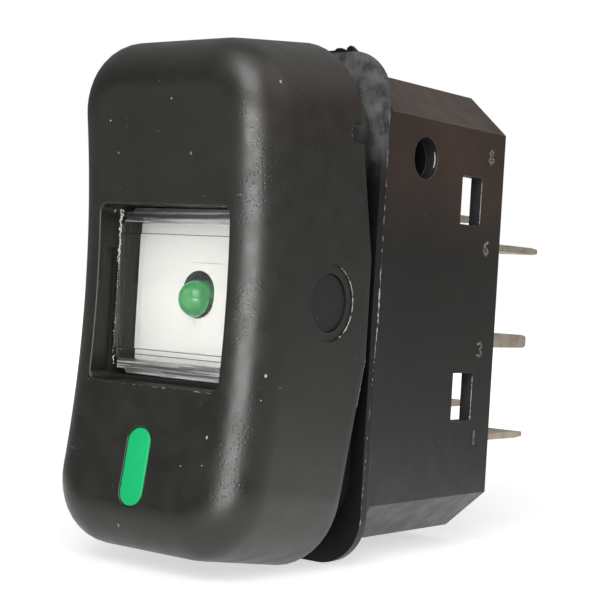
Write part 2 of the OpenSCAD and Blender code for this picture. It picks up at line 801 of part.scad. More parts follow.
module symbol_lamp() {
  color("#4caf63") lamp(lamp_rows[0]);
}

module indicator_lamp() {
  color("#4caf63") lamp(lamp_rows[1]);
}

module lamp_leads() {
  color("#c8c8c4")
    for (row = lamp_rows, side = [-1, 1])
      rod_y([side * (board_t + lead_d) / 2, -row[1], row[0]], lead_d, lead_len);
}

module lamp_resistors() {
  color("#1d1d1d")
    for (up = [-1, 1])
      translate([(board_t + chip_t) / 2, chip_y, up * chip_z])
        cube([chip_t, chip_w, chip_len], center = true);
}

housing();
bearing_frame();
terminal_base();
throw_terminal(-1, upper_z, upper_reach);  // upper_terminal_left
common_terminal(-1);  // common_terminal_left
throw_terminal(-1, -lower_drop, lower_reach);  // lower_terminal_left
throw_terminal(1, upper_z, upper_reach);  // upper_terminal_right
common_terminal(1);  // common_terminal_right
throw_terminal(1, -lower_drop, lower_reach);  // lower_terminal_right
lamp_terminal(lamp_z);  // lamp_terminal_upper
lamp_terminal(-lamp_z);  // lamp_terminal_lower
fixed_contacts(-1);  // fixed_contacts_left
fixed_contacts(1);  // fixed_contacts_right
contact_bridge(-1);  // contact_bridge_left
contact_bridge(1);  // contact_bridge_right
moving_contacts(-1);  // moving_contacts_left
moving_contacts(1);  // moving_contacts_right
rocker_cap();
symbol_lens();
indicator_bar();
plunger_carrier();
plunger(-1);  // plunger_left
plunger(1);  // plunger_right
plunger_spring(-1);  // plunger_spring_left
plunger_spring(1);  // plunger_spring_right
lamp_board();
symbol_lamp();
indicator_lamp();
lamp_leads();
lamp_resistors();
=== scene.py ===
"""Looks of a dashboard rocker switch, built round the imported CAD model.

Shapes are made in millimetres and scaled to metres when they are put in the scene.
"""

import json
import math
import random

import bmesh
import bpy
from mathutils import Matrix, Vector

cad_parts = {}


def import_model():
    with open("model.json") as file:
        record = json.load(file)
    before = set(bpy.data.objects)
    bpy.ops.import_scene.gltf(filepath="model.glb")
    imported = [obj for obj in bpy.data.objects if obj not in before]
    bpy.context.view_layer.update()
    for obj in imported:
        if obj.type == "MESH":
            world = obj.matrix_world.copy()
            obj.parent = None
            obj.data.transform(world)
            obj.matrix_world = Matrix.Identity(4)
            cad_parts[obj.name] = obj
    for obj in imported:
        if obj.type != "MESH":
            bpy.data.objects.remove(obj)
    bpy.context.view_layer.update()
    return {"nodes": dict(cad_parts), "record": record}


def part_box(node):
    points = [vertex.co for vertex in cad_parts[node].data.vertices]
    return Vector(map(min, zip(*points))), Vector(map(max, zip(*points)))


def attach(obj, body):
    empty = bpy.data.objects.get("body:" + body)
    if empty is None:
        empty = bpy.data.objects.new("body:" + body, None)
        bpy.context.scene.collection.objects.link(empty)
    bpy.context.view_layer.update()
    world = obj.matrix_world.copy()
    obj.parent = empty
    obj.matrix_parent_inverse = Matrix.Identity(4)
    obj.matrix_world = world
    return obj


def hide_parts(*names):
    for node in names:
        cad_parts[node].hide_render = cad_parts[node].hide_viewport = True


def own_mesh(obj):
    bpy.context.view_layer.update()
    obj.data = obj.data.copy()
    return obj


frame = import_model()
nodes = frame["nodes"]
bodies = {n: body for body, names in frame["record"]["behaviour"]["bodies"].items() for n in names}
scene = bpy.context.scene

# Sizes of the CAD model, in mm and degrees
HALF_W = 11.6
HALF_H = 24.25
CORNER_R = 6.4
LIFT = 0.15
FILLET = 4.0
WALL = 1.5
FRONT_WALL = 2.0
FACE_Y = -18.2
FACE_LEAN = 0.9
DISH = 1.9
DISH_SPAN = 20
BACK_Y = -2
BACK_FLAT = 4.6
BACK_SLOPE = 12.5
DRAFT = 7
DRAFT_START = -6.356
WINDOW = (7.7, 8.2, 0.8)  # half width, half height, corner radius
SLEEVE_WALL = 0.8
SLEEVE_END = -11.6
LENS_FRONT = -15.8
LENS_BACK = -13.8
LEDGE_Z = 7.75
NOTCH_Z = 15.9
NOTCH_R = 0.9
NOTCH_DEPTH = 2
PIVOT = (-8.15, 0.35)  # y, z
BORE_R = 2.65
RECESS_R = 3.5
SECTION = (10.27, 23.0, 4.57, 4.12)  # housing: half width, half height, corner cut along x and z
PLATE = (-12.4, -10.8)  # white plate: front, back
LAMP_R = 1.75
LAMP_FLANGE_R = 2.0
LAMP_FLANGE_T = 0.8

# Sizes of the visual model alone, in mm and degrees
FRONT_LIMIT = -20.138  # keeps the round edge inside the CAD model's box
REAR_LIP = 0.3
BAR = (-0.5, -15.1, 1.32, 3.45)  # middle x, middle z, half width, half height
RECESS_X = 11.38
LAMP_SLOT = (-1.8, 2.6, 1.9)  # low end, high end, half width
RELIEF = (-0.95, 3.5, 1.83)  # what is left of the lamp behind the plate, as above
RELIEF_TOP = 0.88
SYMBOL_FLANGE_R = 1.9
LENS_GAP = 0.1
LENS_STEPS = (5.7, 6.66)
FLANGE_Z = 6.7
FOOT_RISE = 0.8
SILL_RISE = 0.4
EDGE_SEGMENTS = 2
EDGE_ANGLE = 30
FLAT_ANGLE = 0.4


def face_y(z):
    """Front face of the rocker: dished, and leaning a little."""
    return FACE_Y - DISH * (z / DISH_SPAN) ** 2 + math.tan(math.radians(FACE_LEAN)) * z


def back_y(z):
    """Back edge of the rocker, cut away above and below the pivot."""
    return BACK_Y - math.tan(math.radians(BACK_SLOPE)) * max(abs(z) - BACK_FLAT, 0)


def half_h(y):
    """Half height of the rocker, which grows towards its back."""
    return HALF_H + math.tan(math.radians(DRAFT)) * (y - DRAFT_START)


def quarter(r, angle):
    """Inset and depth at an angle along a round edge."""
    a = math.radians(angle)
    return r * (1 - math.sin(a)), r * (1 - math.cos(a))


# Mesh helpers


def from_bmesh(name, bm):
    """Object from a bmesh, which is used up, with its normals turned outwards."""
    bmesh.ops.recalc_face_normals(bm, faces=bm.faces)
    mesh = bpy.data.meshes.new(name)
    bm.to_mesh(mesh)
    bm.free()
    obj = bpy.data.objects.new(name, mesh)
    scene.collection.objects.link(obj)
    return obj


def add(name, verts, faces):
    """Object from points and faces in mm."""
    mesh = bpy.data.meshes.new(name)
    mesh.from_pydata(verts, [], faces)
    bm = bmesh.new()
    bm.from_mesh(mesh)
    bpy.data.meshes.remove(mesh)
    bmesh.ops.remove_doubles(bm, verts=bm.verts, dist=1e-4)
    return from_bmesh(name, bm)


def bake(obj):
    """Applies the modifiers of an object."""
    graph = bpy.context.evaluated_depsgraph_get()
    final = obj.evaluated_get(graph)
    mesh = bpy.data.meshes.new_from_object(final, preserve_all_data_layers=True, depsgraph=graph)
    old = obj.data
    obj.modifiers.clear()
    obj.data = mesh
    mesh.name = obj.name
    bpy.data.meshes.remove(old)


def combine(obj, other, operation):
    """Boolean of two closed meshes; the second one is used up."""
    mod = obj.modifiers.new("combine", "BOOLEAN")
    mod.operation = operation
    mod.solver = "EXACT"
    mod.object = other
    bake(obj)
    bpy.data.objects.remove(other)


def join(first, *others):
    """Adds the meshes of other objects to the first one."""
    bm = bmesh.new()
    for obj in (first, *others):
        bm.from_mesh(obj.data)
    bm.to_mesh(first.data)
    bm.free()
    for obj in others:
        bpy.data.objects.remove(obj)
    return first


def soft_edges(obj, width, mark):
    """Rounds the sharp edges; flat faces shade flat, and marked strips take the second material."""
    mod = obj.modifiers.new("round", "BEVEL")
    mod.width = width
    mod.segments = EDGE_SEGMENTS
    mod.limit_method = "ANGLE"
    mod.angle_limit = math.radians(EDGE_ANGLE)
    mod.miter_outer = "MITER_ARC"
    mod.material = 1
    while len(obj.data.materials) < 2:
        obj.data.materials.append(None)
    bake(obj)
    bm = bmesh.new()
    bm.from_mesh(obj.data)
    bmesh.ops.triangulate(bm, faces=[f for f in bm.faces if len(f.verts) > 4])
    bm.to_mesh(obj.data)
    bm.free()
    mesh = obj.data
    mesh.polygons.foreach_set("use_smooth", [True] * len(mesh.polygons))
    flat = [Vector() for v in mesh.vertices]
    strip = [Vector() for v in mesh.vertices]
    for face in mesh.polygons:
        for i in face.vertices:
            (strip if face.material_index else flat)[i] += face.normal * face.area
    normals = [(a if a.length > 1e-9 else b).normalized() for a, b in zip(flat, strip)]
    mesh.normals_split_custom_set_from_vertices(normals)
    if not mark:
        mesh.polygons.foreach_set("material_index", [0] * len(mesh.polygons))


def smooth(obj, angle):
    """Smooth shading, apart from edges sharper than an angle."""
    obj.data.polygons.foreach_set("use_smooth", [True] * len(obj.data.polygons))
    obj.data.set_sharp_from_angle(angle=math.radians(angle))


def place(obj, body, mats, stands_for=None):
    """Scales a piece to metres, gives it materials and ties it to the frame."""
    obj.data.transform(Matrix.Scale(0.001, 4))
    obj.data.update()
    while len(obj.data.materials) < len(mats):
        obj.data.materials.append(None)
    for i, mat in enumerate(mats):
        obj.data.materials[i] = mat
    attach(obj, body)
    if stands_for:
        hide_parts(stands_for)


def cad_copy(node):
    """Copy of a CAD node in mm, with its flat faces cut anew."""
    bm = bmesh.new()
    bm.from_mesh(nodes[node].data)
    bm.transform(Matrix.Scale(1000, 4))
    bmesh.ops.remove_doubles(bm, verts=bm.verts, dist=0.02)
    bmesh.ops.dissolve_limit(bm, angle_limit=math.radians(FLAT_ANGLE), verts=bm.verts, edges=bm.edges)
    bm.normal_update()
    bmesh.ops.triangulate(bm, faces=[f for f in bm.faces if abs(f.normal.y) > 0.99])
    bm.verts.index_update()
    obj = add(node + "_piece", [v.co[:] for v in bm.verts], [[v.index for v in f.verts] for f in bm.faces])
    bm.free()
    return obj


def chain(half_x, half_z, r, arc, side):
    """Right half of a rounded rectangle as (x, z), from the bottom to the top."""
    points = []
    for i in range(arc + 1):
        a = math.radians(90 * i / arc - 90)
        points.append((half_x - r + r * math.cos(a), -half_z + r + r * math.sin(a)))
    for i in range(1, side):
        points.append((half_x, (half_z - r) * (2 * i / side - 1)))
    points += [(x, -z) for x, z in reversed(points[: arc + 1])]
    return points


def loft(name, rings, across=36, arc=10, side=70, centre=(0, 0)):
    """Closed solid through rings of (half x, half z, corner radius, depth by height, lift)."""
    verts = []
    faces = []
    rows = 2 * arc + side + 1
    loop = [(0, j) for j in range(across)] + [(i, across) for i in range(rows - 1)]
    loop += [(rows - 1, j) for j in range(across, 0, -1)] + [(i, 0) for i in range(rows - 1, 0, -1)]
    cx = centre[0]

    def outline(ring):
        lift = centre[1] + sum(ring[4:])
        return [(x, z + lift) for x, z in chain(*ring[:3], arc, side)]

    def ring_points(ring):
        right = outline(ring)
        out = []
        for i, j in loop:
            x, z = right[i]
            x *= 2 * j / across - 1
            out.append((x + cx, ring[3](z), z))
        return out

    def cap(ring, start):
        right = outline(ring)
        index = {key: start + k for k, key in enumerate(loop)}
        for i in range(1, rows - 1):
            for j in range(1, across):
                x, z = right[i]
                index[(i, j)] = len(verts)
                verts.append((x * (2 * j / across - 1) + cx, ring[3](z), z))
        for i in range(rows - 1):
            for j in range(across):
                faces.append([index[(i, j)], index[(i, j + 1)], index[(i + 1, j + 1)], index[(i + 1, j)]])

    n = len(loop)
    for ring in rings:
        verts.extend(ring_points(ring))
    for k in range(len(rings) - 1):
        for i in range(n):
            a = k * n + i
            b = k * n + (i + 1) % n
            faces.append([a, b, b + n, a + n])
    cap(rings[0], 0)
    cap(rings[-1], (len(rings) - 1) * n)
    return add(name, verts, faces)


def lip_rings(half_x, half_z, r, lip, rear):
    """Rings of a cutter that rounds the mouth of an opening in the front face."""
    rings = []

    def at(out, depth):
        rings.append((half_x + out, half_z + out, r + out, lambda z: face_y(z) + depth))

    step = 15
    slope = math.tan(math.radians(step))
    first, drop = quarter(lip, step)
    at(first + (drop + 1) / slope * 0.25, -1)
    at(first + (drop + 0.1) / slope, -0.1)
    for a in range(step, 91, step):
        at(*quarter(lip, a))
    rings.append((half_x, half_z, r, lambda z: rear))
    return rings


def prism(name, first, second):
    """Solid between two outlines with equally many points."""
    n = len(first)
    faces = [list(range(n)), list(range(2 * n - 1, n - 1, -1))]
    faces += [[i, (i + 1) % n, (i + 1) % n + n, i + n] for i in range(n)]
    return add(name, first + second, faces)


def prism_x(name, outline, x0, x1):
    """Solid from an outline of (y, z) points, between two values of x."""
    return prism(name, [(x0, y, z) for y, z in outline], [(x1, y, z) for y, z in outline])


def prism_y(name, outline, y0, y1):
    """Solid from an outline of (x, z) points, between two values of y."""
    return prism(name, [(x, y0, z) for x, z in outline], [(x, y1, z) for x, z in outline])


def box(name, low, high):
    """Box between two corners."""
    outline = [(low[1], low[2]), (high[1], low[2]), (high[1], high[2]), (low[1], high[2])]
    return prism_x(name, outline, low[0], high[0])


def stadium(low, high, half_x, count=16):
    """Outline of a slot with round ends between two heights, as (x, z)."""
    arc = [math.radians(180 * i / count) for i in range(count + 1)]
    top = [(half_x * math.cos(a), high - half_x + half_x * math.sin(a)) for a in arc]
    return top + [(-x, low + high - z) for x, z in top]


def turned(name, profile, segments=48):
    """Solid of revolution round the y axis from (radius, y) points."""
    verts = []
    faces = []
    for r, y in profile:
        for k in range(segments):
            a = 2 * math.pi * k / segments
            verts.append((r * math.cos(a), y, r * math.sin(a)))
    for i in range(len(profile) - 1):
        for k in range(segments):
            a = i * segments + k
            b = i * segments + (k + 1) % segments
            faces.append([a, b, b + segments, a + segments])
    faces.append(list(range(segments)))
    faces.append(list(range((len(profile) - 1) * segments, len(profile) * segments)))
    return add(name, verts, faces)


def turn_to_x(obj, side):
    """Turns a solid of revolution from the y axis to the x axis, outer end outwards."""
    obj.data.transform(Matrix.Rotation(math.radians(90 * side), 4, "Z"))


def shift(obj, x, y, z):
    """Moves the mesh of an object."""
    obj.data.transform(Matrix.Translation((x, y, z)))


# Materials


class Nodes:
    """Node tree with textures measured in mm."""

    def __init__(self, tree, coord):
        self.tree = tree
        self.coord = self.node("ShaderNodeTexCoord").outputs[coord]

    def node(self, kind, **settings):
        made = self.tree.nodes.new(kind)
        for key, value in settings.items():
            setattr(made, key, value)
        return made

    def put(self, socket, value):
        """Links an output to a socket, or sets a constant on it."""
        if hasattr(value, "is_output"):
            self.tree.links.new(value, socket)
        elif socket.type == "RGBA" and len(value) == 3:
            socket.default_value = (*value, 1)
        else:
            socket.default_value = value

    def stretched(self, scale):
        made = self.node("ShaderNodeMapping")
        self.put(made.inputs["Vector"], self.coord)
        made.inputs["Scale"].default_value = scale
        return made.outputs["Vector"]

    def noise(self, size, detail=3, rough=0.5, stretch=None):
        made = self.node("ShaderNodeTexNoise")
        self.put(made.inputs["Vector"], self.stretched(stretch) if stretch else self.coord)
        made.inputs["Scale"].default_value = 1000 / size
        made.inputs["Detail"].default_value = detail
        made.inputs["Roughness"].default_value = rough
        return made.outputs["Fac"]

    def cells(self, size, stretch=None):
        """Distance to the middle of a cell, and two random values for each cell."""
        made = self.node("ShaderNodeTexVoronoi")
        self.put(made.inputs["Vector"], self.stretched(stretch) if stretch else self.coord)
        made.inputs["Scale"].default_value = 1000 / size
        part = self.node("ShaderNodeSeparateColor")
        self.put(part.inputs["Color"], made.outputs["Color"])
        return made.outputs["Distance"], part.outputs[0], part.outputs[1]

    def axis(self, name):
        made = self.node("ShaderNodeSeparateXYZ")
        self.put(made.inputs["Vector"], self.coord)
        return made.outputs[name]

    def span(self, value, low, high, to_low=0.0, to_high=1.0):
        """Smooth step between two values."""
        made = self.node("ShaderNodeMapRange", interpolation_type="SMOOTHSTEP")
        keys = ("Value", "From Min", "From Max", "To Min", "To Max")
        for key, v in zip(keys, (value, low, high, to_low, to_high)):
            self.put(made.inputs[key], v)
        return made.outputs["Result"]

    def calc(self, operation, a, b):
        made = self.node("ShaderNodeMath", operation=operation)
        self.put(made.inputs[0], a)
        self.put(made.inputs[1], b)
        return made.outputs["Value"]

    def blend(self, share, a, b):
        made = self.node("ShaderNodeMix", data_type="RGBA")
        self.put(made.inputs["Factor"], share)
        self.put(made.inputs[6], a)
        self.put(made.inputs[7], b)
        return made.outputs[2]

    def bump(self, height, depth, below=None):
        made = self.node("ShaderNodeBump")
        made.inputs["Strength"].default_value = 1.0
        made.inputs["Distance"].default_value = depth * 0.001
        self.put(made.inputs["Height"], height)
        if below:
            self.put(made.inputs["Normal"], below)
        return made.outputs["Normal"]


class Look(Nodes):
    """Material with a Principled shader, whose sockets are named with underscores."""

    def __init__(self, name, **values):
        self.mat = bpy.data.materials.new(name)
        self.mat.use_nodes = True
        super().__init__(self.mat.node_tree, "Object")
        self.shader = self.tree.nodes["Principled BSDF"]
        self.set(**values)

    def set(self, **values):
        for key, value in values.items():
            self.put(self.shader.inputs[key.replace("_", " ")], value)
        return self.mat


DUST = (0.42, 0.42, 0.4)
DIRT = (0.2, 0.19, 0.17)
# Grain of a layer: size, detail, harshness, noise where it starts and where it is full, least share
TINT_AND_REFLECTION_GRAIN = (12, 2, 0.5, 0.25, 0.7, 0.55)
DUST_AND_TOP_LIGHT_GRAIN = (2.6, 5, 0.66, 0.34, 0.62, 0.2)
LAYER_TOP = (0.0241, 0.0243)


def layer(shade, heights, axis, reach):
    """Colour that comes in between two heights and between two places along an axis, in mm."""
    return shade, *heights, axis, *reach


def plastic(
    name, dark, light, rough, level, dust, tint_and_reflection=None, dust_and_top_light=None, worn=0.0, depth=0.012, rash=0.0, waves=0.004
):
    """Moulded plastic: cloudy colour, fine grain, dust specks, hair scratches, and two optional layers: a
    tint, used for painted reflections, and pale dust that also paints light from above.
    """
    m = Look(name, Specular_IOR_Level=level)
    colour = m.blend(m.span(m.noise(7, 4), 0.3, 0.72), dark, light)
    # Layers laid in by height and place: the tint layer paints reflections, the dust layer paints light from
    # above as well as dust.
    for overlay, grain in ((tint_and_reflection, TINT_AND_REFLECTION_GRAIN), (dust_and_top_light, DUST_AND_TOP_LIGHT_GRAIN)):
        if not overlay:
            continue
        shade, low, high, axis, start, end = overlay
        size, detail, harsh, thin, full, least = grain
        share = m.span(m.noise(size, detail, harsh), thin, full, least, 1)
        share = m.calc("MULTIPLY", share, m.span(m.axis("Z"), low * 0.001, high * 0.001))
        share = m.calc("MULTIPLY", share, m.span(m.axis(axis), start * 0.001, end * 0.001))
        share = m.calc("MULTIPLY", share, m.span(m.axis("Z"), *LAYER_TOP, 1, 0))
        colour = m.blend(share, colour, shade)
    away, pick, size = m.cells(1.25, (1, 1, 0.8))
    radius = m.span(size, 0.2, 1, 0.02 * dust, 0.085 * dust)
    speck = m.calc("MULTIPLY", m.calc("LESS_THAN", away, radius), m.span(pick, 0.45, 0.95))
    hair = m.span(m.noise(1.1, 2, 0.5, (0.3, 1, 5)), 0.76, 0.79, 0, 0.25)
    scuff = m.span(m.noise(2.2, 5, 0.62), 0.66, 0.80, 0, 0.05)
    pale = m.calc("MAXIMUM", speck, m.calc("MAXIMUM", hair, scuff))
    if worn:
        rub = m.span(m.noise(1.6, 4, 0.6), 0.5 - 0.25 * worn, 0.62 - 0.15 * worn, 0, 0.45 * worn)
        pale = m.calc("MAXIMUM", pale, rub)
    colour = m.blend(pale, colour, DUST)
    roughness = m.span(m.noise(1.9, 4), 0.3, 0.7, rough - 0.05, rough + 0.05)
    normal = m.bump(m.noise(0.24, 2, 0.55), depth)
    if rash:
        normal = m.bump(round_edge_pits(m), rash, normal)
    return m.set(Base_Color=colour, Roughness=roughness, Normal=m.bump(m.noise(3.2, 3), waves, normal))


def round_edge_pits(m):
    """Height of the pits in patches along the rocker's round edge."""
    edge = m.calc("ABSOLUTE", m.axis("X"), 0)
    edge = m.calc("MULTIPLY", m.span(edge, 0.0078, 0.0088), m.span(edge, 0.0113, 0.0115, 1, 0))
    edge = m.calc("MULTIPLY", edge, m.span(m.calc("ABSOLUTE", m.axis("Z"), 0), 0.0165, 0.019, 1, 0))
    patch = m.calc("MULTIPLY", m.span(m.noise(5, 3, 0.6), 0.43, 0.58), edge)
    away, pick, _ = m.cells(0.32)
    pits = m.calc("MULTIPLY", m.span(away, 0.1, 0.5, -1, 0), m.span(pick, 0.05, 0.6))
    return m.calc("MULTIPLY", pits, patch)


def metal(name, colour, stain, rough):
    """Rolled or plated metal: drawn lines, clouds of tarnish, pits."""
    m = Look(name, Metallic=1.0)
    line = m.noise(0.16, 3, 0.6, (1, 0.08, 1))
    cloud = m.span(m.noise(1.7, 4, 0.6), 0.42, 0.74)
    pit = m.span(m.noise(0.3, 2), 0.7, 0.78, 0, 0.6)
    mixed = m.blend(m.calc("MAXIMUM", m.calc("MULTIPLY", cloud, 0.7), pit), colour, stain)
    roughness = m.span(line, 0.3, 0.7, rough - 0.08, rough + 0.1)
    return m.set(Base_Color=mixed, Roughness=roughness, Normal=m.bump(line, 0.006))


def pale_plastic(name, base, grey, rough):
    """Smooth pale plastic with faint clouds, sink marks and a little dirt."""
    m = Look(name)
    colour = m.blend(m.span(m.noise(4.5, 3), 0.35, 0.75, 0, 0.5), base, grey)
    away, pick, _ = m.cells(0.9)
    spot = m.calc("MULTIPLY", m.calc("LESS_THAN", away, 0.05), m.span(pick, 0.6, 0.95, 0, 0.6))
    colour = m.blend(spot, colour, DIRT)
    roughness = m.span(m.noise(1.2, 3), 0.3, 0.7, rough - 0.05, rough + 0.08)
    return m.set(Base_Color=colour, Roughness=roughness, Normal=m.bump(m.noise(0.5, 3), 0.004))


def lens_material():
    """Clear plastic with a faint haze."""
    m = Look("clear_lens", IOR=1.49, Transmission_Weight=1.0)
    haze = m.span(m.noise(2.2, 4, 0.6), 0.45, 0.8, 0.01, 0.05)
    colour = m.blend(m.span(m.noise(5, 2), 0.3, 0.7), (1.0, 1.0, 0.995), (0.99, 0.99, 0.98))
    return m.set(Base_Color=colour, Roughness=haze, Normal=m.bump(m.noise(1.8, 2), 0.004))


def flange_material():
    """Stepped edge of the lens, half clear: painted pale and dark streaks stand in for its refraction lines,
    and it is painted dark at the left and paler towards the right.
    """
    m = Look("lens_flange", IOR=1.49, Transmission_Weight=0.55)
    streak = m.noise(0.5, 3, 0.6, (0.03, 1, 1))
    # Painted shade at the left of the flange and painted light towards the right, then painted dark and pale
    # streaks.
    tone = m.blend(m.span(m.axis("X"), -0.008, 0.006), (0.16, 0.16, 0.155), (0.78, 0.79, 0.78))
    tone = m.blend(m.span(streak, 0.53, 0.58, 0, 0.75), tone, (0.04, 0.04, 0.038))
    tone = m.blend(m.span(streak, 0.46, 0.42, 0, 0.85), tone, (0.92, 0.92, 0.91))
    return m.set(Base_Color=tone, Roughness=m.span(streak, 0.3, 0.7, 0.1, 0.3), Normal=m.bump(streak, 0.05))


def green_material(name, low, high, rough, through, level):
    """Green plastic that lets some light in, with a few pale spots."""
    m = Look(
        name,
        IOR=1.5,
        Specular_IOR_Level=level,
        Subsurface_Weight=through,
        Subsurface_Radius=(0.0003, 0.001, 0.0005),
        Subsurface_Scale=1.0,
    )
    colour = m.blend(m.span(m.noise(2.4, 3), 0.3, 0.75), low, high)
    away, pick, _ = m.cells(0.8)
    spot = m.calc("MULTIPLY", m.calc("LESS_THAN", away, 0.06), m.span(pick, 0.7, 0.95, 0, 0.7))
    colour = m.blend(spot, colour, (0.3, 0.62, 0.42))
    roughness = m.span(m.noise(0.7, 3), 0.3, 0.7, rough - 0.05, rough + 0.07)
    return m.set(Base_Color=colour, Roughness=roughness, Normal=m.bump(m.noise(0.35, 2), 0.004))


def board_material():
    """Circuit board with the weave showing through its lacquer."""
    m = Look("board")
    weave = m.calc("MULTIPLY", m.noise(0.3, 1, 0.5, (1, 6, 0.6)), m.noise(0.3, 1, 0.5, (1, 0.6, 6)))
    colour = m.blend(m.span(weave, 0.12, 0.4), (0.012, 0.07, 0.035), (0.03, 0.14, 0.075))
    roughness = m.span(m.noise(1, 3), 0.3, 0.7, 0.3, 0.45)
    return m.set(Base_Color=colour, Roughness=roughness, Normal=m.bump(weave, 0.01))


def resistor_material():
    """Black resistors with grey marks."""
    m = Look("resistor_body")
    colour = m.blend(m.span(m.noise(0.4, 4), 0.4, 0.7), (0.008, 0.008, 0.008), (0.02, 0.02, 0.022))
    colour = m.blend(m.span(m.noise(0.9, 2), 0.64, 0.7), colour, (0.25, 0.25, 0.24))
    roughness = m.span(m.noise(0.5, 3), 0.3, 0.7, 0.35, 0.6)
    return m.set(Base_Color=colour, Roughness=roughness, Normal=m.bump(m.noise(0.15, 2), 0.01))


charcoal = ((0.0085, 0.0087, 0.0066), (0.012, 0.012, 0.0088))
rim_black = ((0.003, 0.0031, 0.0028), (0.005, 0.005, 0.0046))
# Pale blotchy layer on the upper rim: dust, and painted light where light from above falls on the rim and
# collar.
rim_dust_and_top_light = layer((0.13, 0.135, 0.13), (11, 19), "Y", (0.3, -0.1))
# The brown layer on the rocker's upper right side is a painted reflection.
rocker_look = plastic(
    "rocker_plastic", *charcoal, rough=0.37, level=0.7, dust=1.3,
    tint_and_reflection=layer((0.023, 0.012, 0.006), (11, 20), "X", (9, 11.5)), depth=0.006, rash=0.017, waves=0.016,
)
sleeve_look = plastic("sleeve_plastic", *charcoal, rough=0.47, level=0.36, dust=1.3, depth=0.006)
# The brown layer on the upper housing, behind the rim, is a painted reflection.
housing_look = plastic(
    "housing_plastic", (0.0052, 0.0053, 0.0042), (0.0078, 0.0078, 0.0062), rough=0.44, level=0.5, dust=0.7,
    tint_and_reflection=layer((0.041, 0.021, 0.012), (4, 15), "Y", (0.1, 0.6)),
)
rim_look = plastic("rim_plastic", *rim_black, rough=0.52, level=0.26, dust=0.7, dust_and_top_light=rim_dust_and_top_light)
# The rim's side gets lighter towards the bottom; its upper part has the dust and painted top light layer.
rim_side_look = plastic(
    "rim_side", *rim_black, rough=0.46, level=0.4, dust=0.7,
    tint_and_reflection=layer((0.0085, 0.0085, 0.007), (-3, -12), "Y", (0.3, -0.1)), dust_and_top_light=rim_dust_and_top_light,
)
# The numbers' paler plastic is worn, and partly a painted highlight.
number_look = plastic(
    "number_plastic", (0.03, 0.029, 0.027), (0.06, 0.058, 0.055), rough=0.42, level=0.55, dust=0.7, worn=0.8,
)
inner_look = plastic(
    "housing_inner", (0.016, 0.0165, 0.0175), (0.026, 0.0265, 0.028), rough=0.44, level=0.55, dust=0.7,
)
# Round edges of the housing: paler as worn edges and partly as a painted highlight, with the brown painted
# reflection at the top.
housing_edge = plastic(
    "housing_edge", (0.024, 0.023, 0.021), (0.045, 0.043, 0.04), rough=0.42, level=0.55, dust=0.7,
    tint_and_reflection=layer((0.085, 0.06, 0.047), (4, 15), "Y", (0.1, 0.6)), worn=0.5,
)
# The pale layer on the upper collar is dust and painted light from above.
frame_look = plastic(
    "frame_plastic", (0.007, 0.007, 0.0067), (0.011, 0.011, 0.0104), rough=0.44, level=0.5, dust=1.2,
    dust_and_top_light=layer((0.055, 0.058, 0.056), (8, 17), "Y", (-0.5, -1)),
)
# Round edges of the frame: paler as worn edges and partly as a painted highlight, and much paler at the top
# as dust and painted light from above.
frame_edge = plastic(
    "frame_edge", (0.02, 0.02, 0.02), (0.04, 0.04, 0.04), rough=0.42, level=0.55, dust=1.4,
    dust_and_top_light=layer((0.16, 0.165, 0.16), (8, 17), "Y", (-0.5, -1)), worn=0.7,
)
base_look = plastic(
    "base_plastic", (0.009, 0.009, 0.008), (0.016, 0.016, 0.014), rough=0.42, level=0.55, dust=0.7,
)
tin_look = metal("tinned_brass", (0.7, 0.605, 0.51), (0.415, 0.34, 0.26), rough=0.42)
silver_look = metal("contact_silver", (0.72, 0.7, 0.64), (0.4, 0.36, 0.28), rough=0.3)
copper_look = metal("bridge_copper", (0.62, 0.29, 0.13), (0.3, 0.13, 0.06), rough=0.32)
spring_look = metal("spring_steel", (0.5, 0.51, 0.52), (0.26, 0.25, 0.24), rough=0.3)
wire_look = metal("lead_wire", (0.66, 0.66, 0.63), (0.38, 0.36, 0.32), rough=0.34)
white_look = pale_plastic("white_plastic", (0.96, 0.945, 0.915), (0.92, 0.905, 0.87), rough=0.45)
# Dim green-grey for the walls of the lamp slot: painted shade.
painted_shade_look = pale_plastic("slot_wall_painted_shade", (0.1, 0.17, 0.135), (0.07, 0.12, 0.1), rough=0.5)
# Pale beads: flash and a painted reflection on the lens edge, and the painted shade line of the plate's
# ridge.
bead_and_painted_light_look = pale_plastic("lens_flash_and_painted_light", (0.8, 0.8, 0.76), (0.5, 0.5, 0.47), rough=0.3)
# Pale grey beads: flash, and painted highlights along edges and a painted glint in the round hole.
flash_and_highlight_look = pale_plastic("rim_flash_and_highlight", (0.4, 0.4, 0.38), (0.09, 0.09, 0.085), rough=0.4)
natural_look = pale_plastic("plunger_plastic", (0.69, 0.66, 0.56), (0.6, 0.57, 0.47), rough=0.35)
lens_look = lens_material()
flange_look = flange_material()
bar_look = green_material(
    "green_lens", (0.005, 0.395, 0.13), (0.007, 0.42, 0.145), rough=0.4, through=0.12, level=0.28,
)
lamp_look = green_material(
    "lamp_epoxy", (0.034, 0.345, 0.088), (0.052, 0.395, 0.116), rough=0.1, through=0.25, level=0.5,
)
board_look = board_material()
resistor_look = resistor_material()

# Rocker: shell, lens, bar


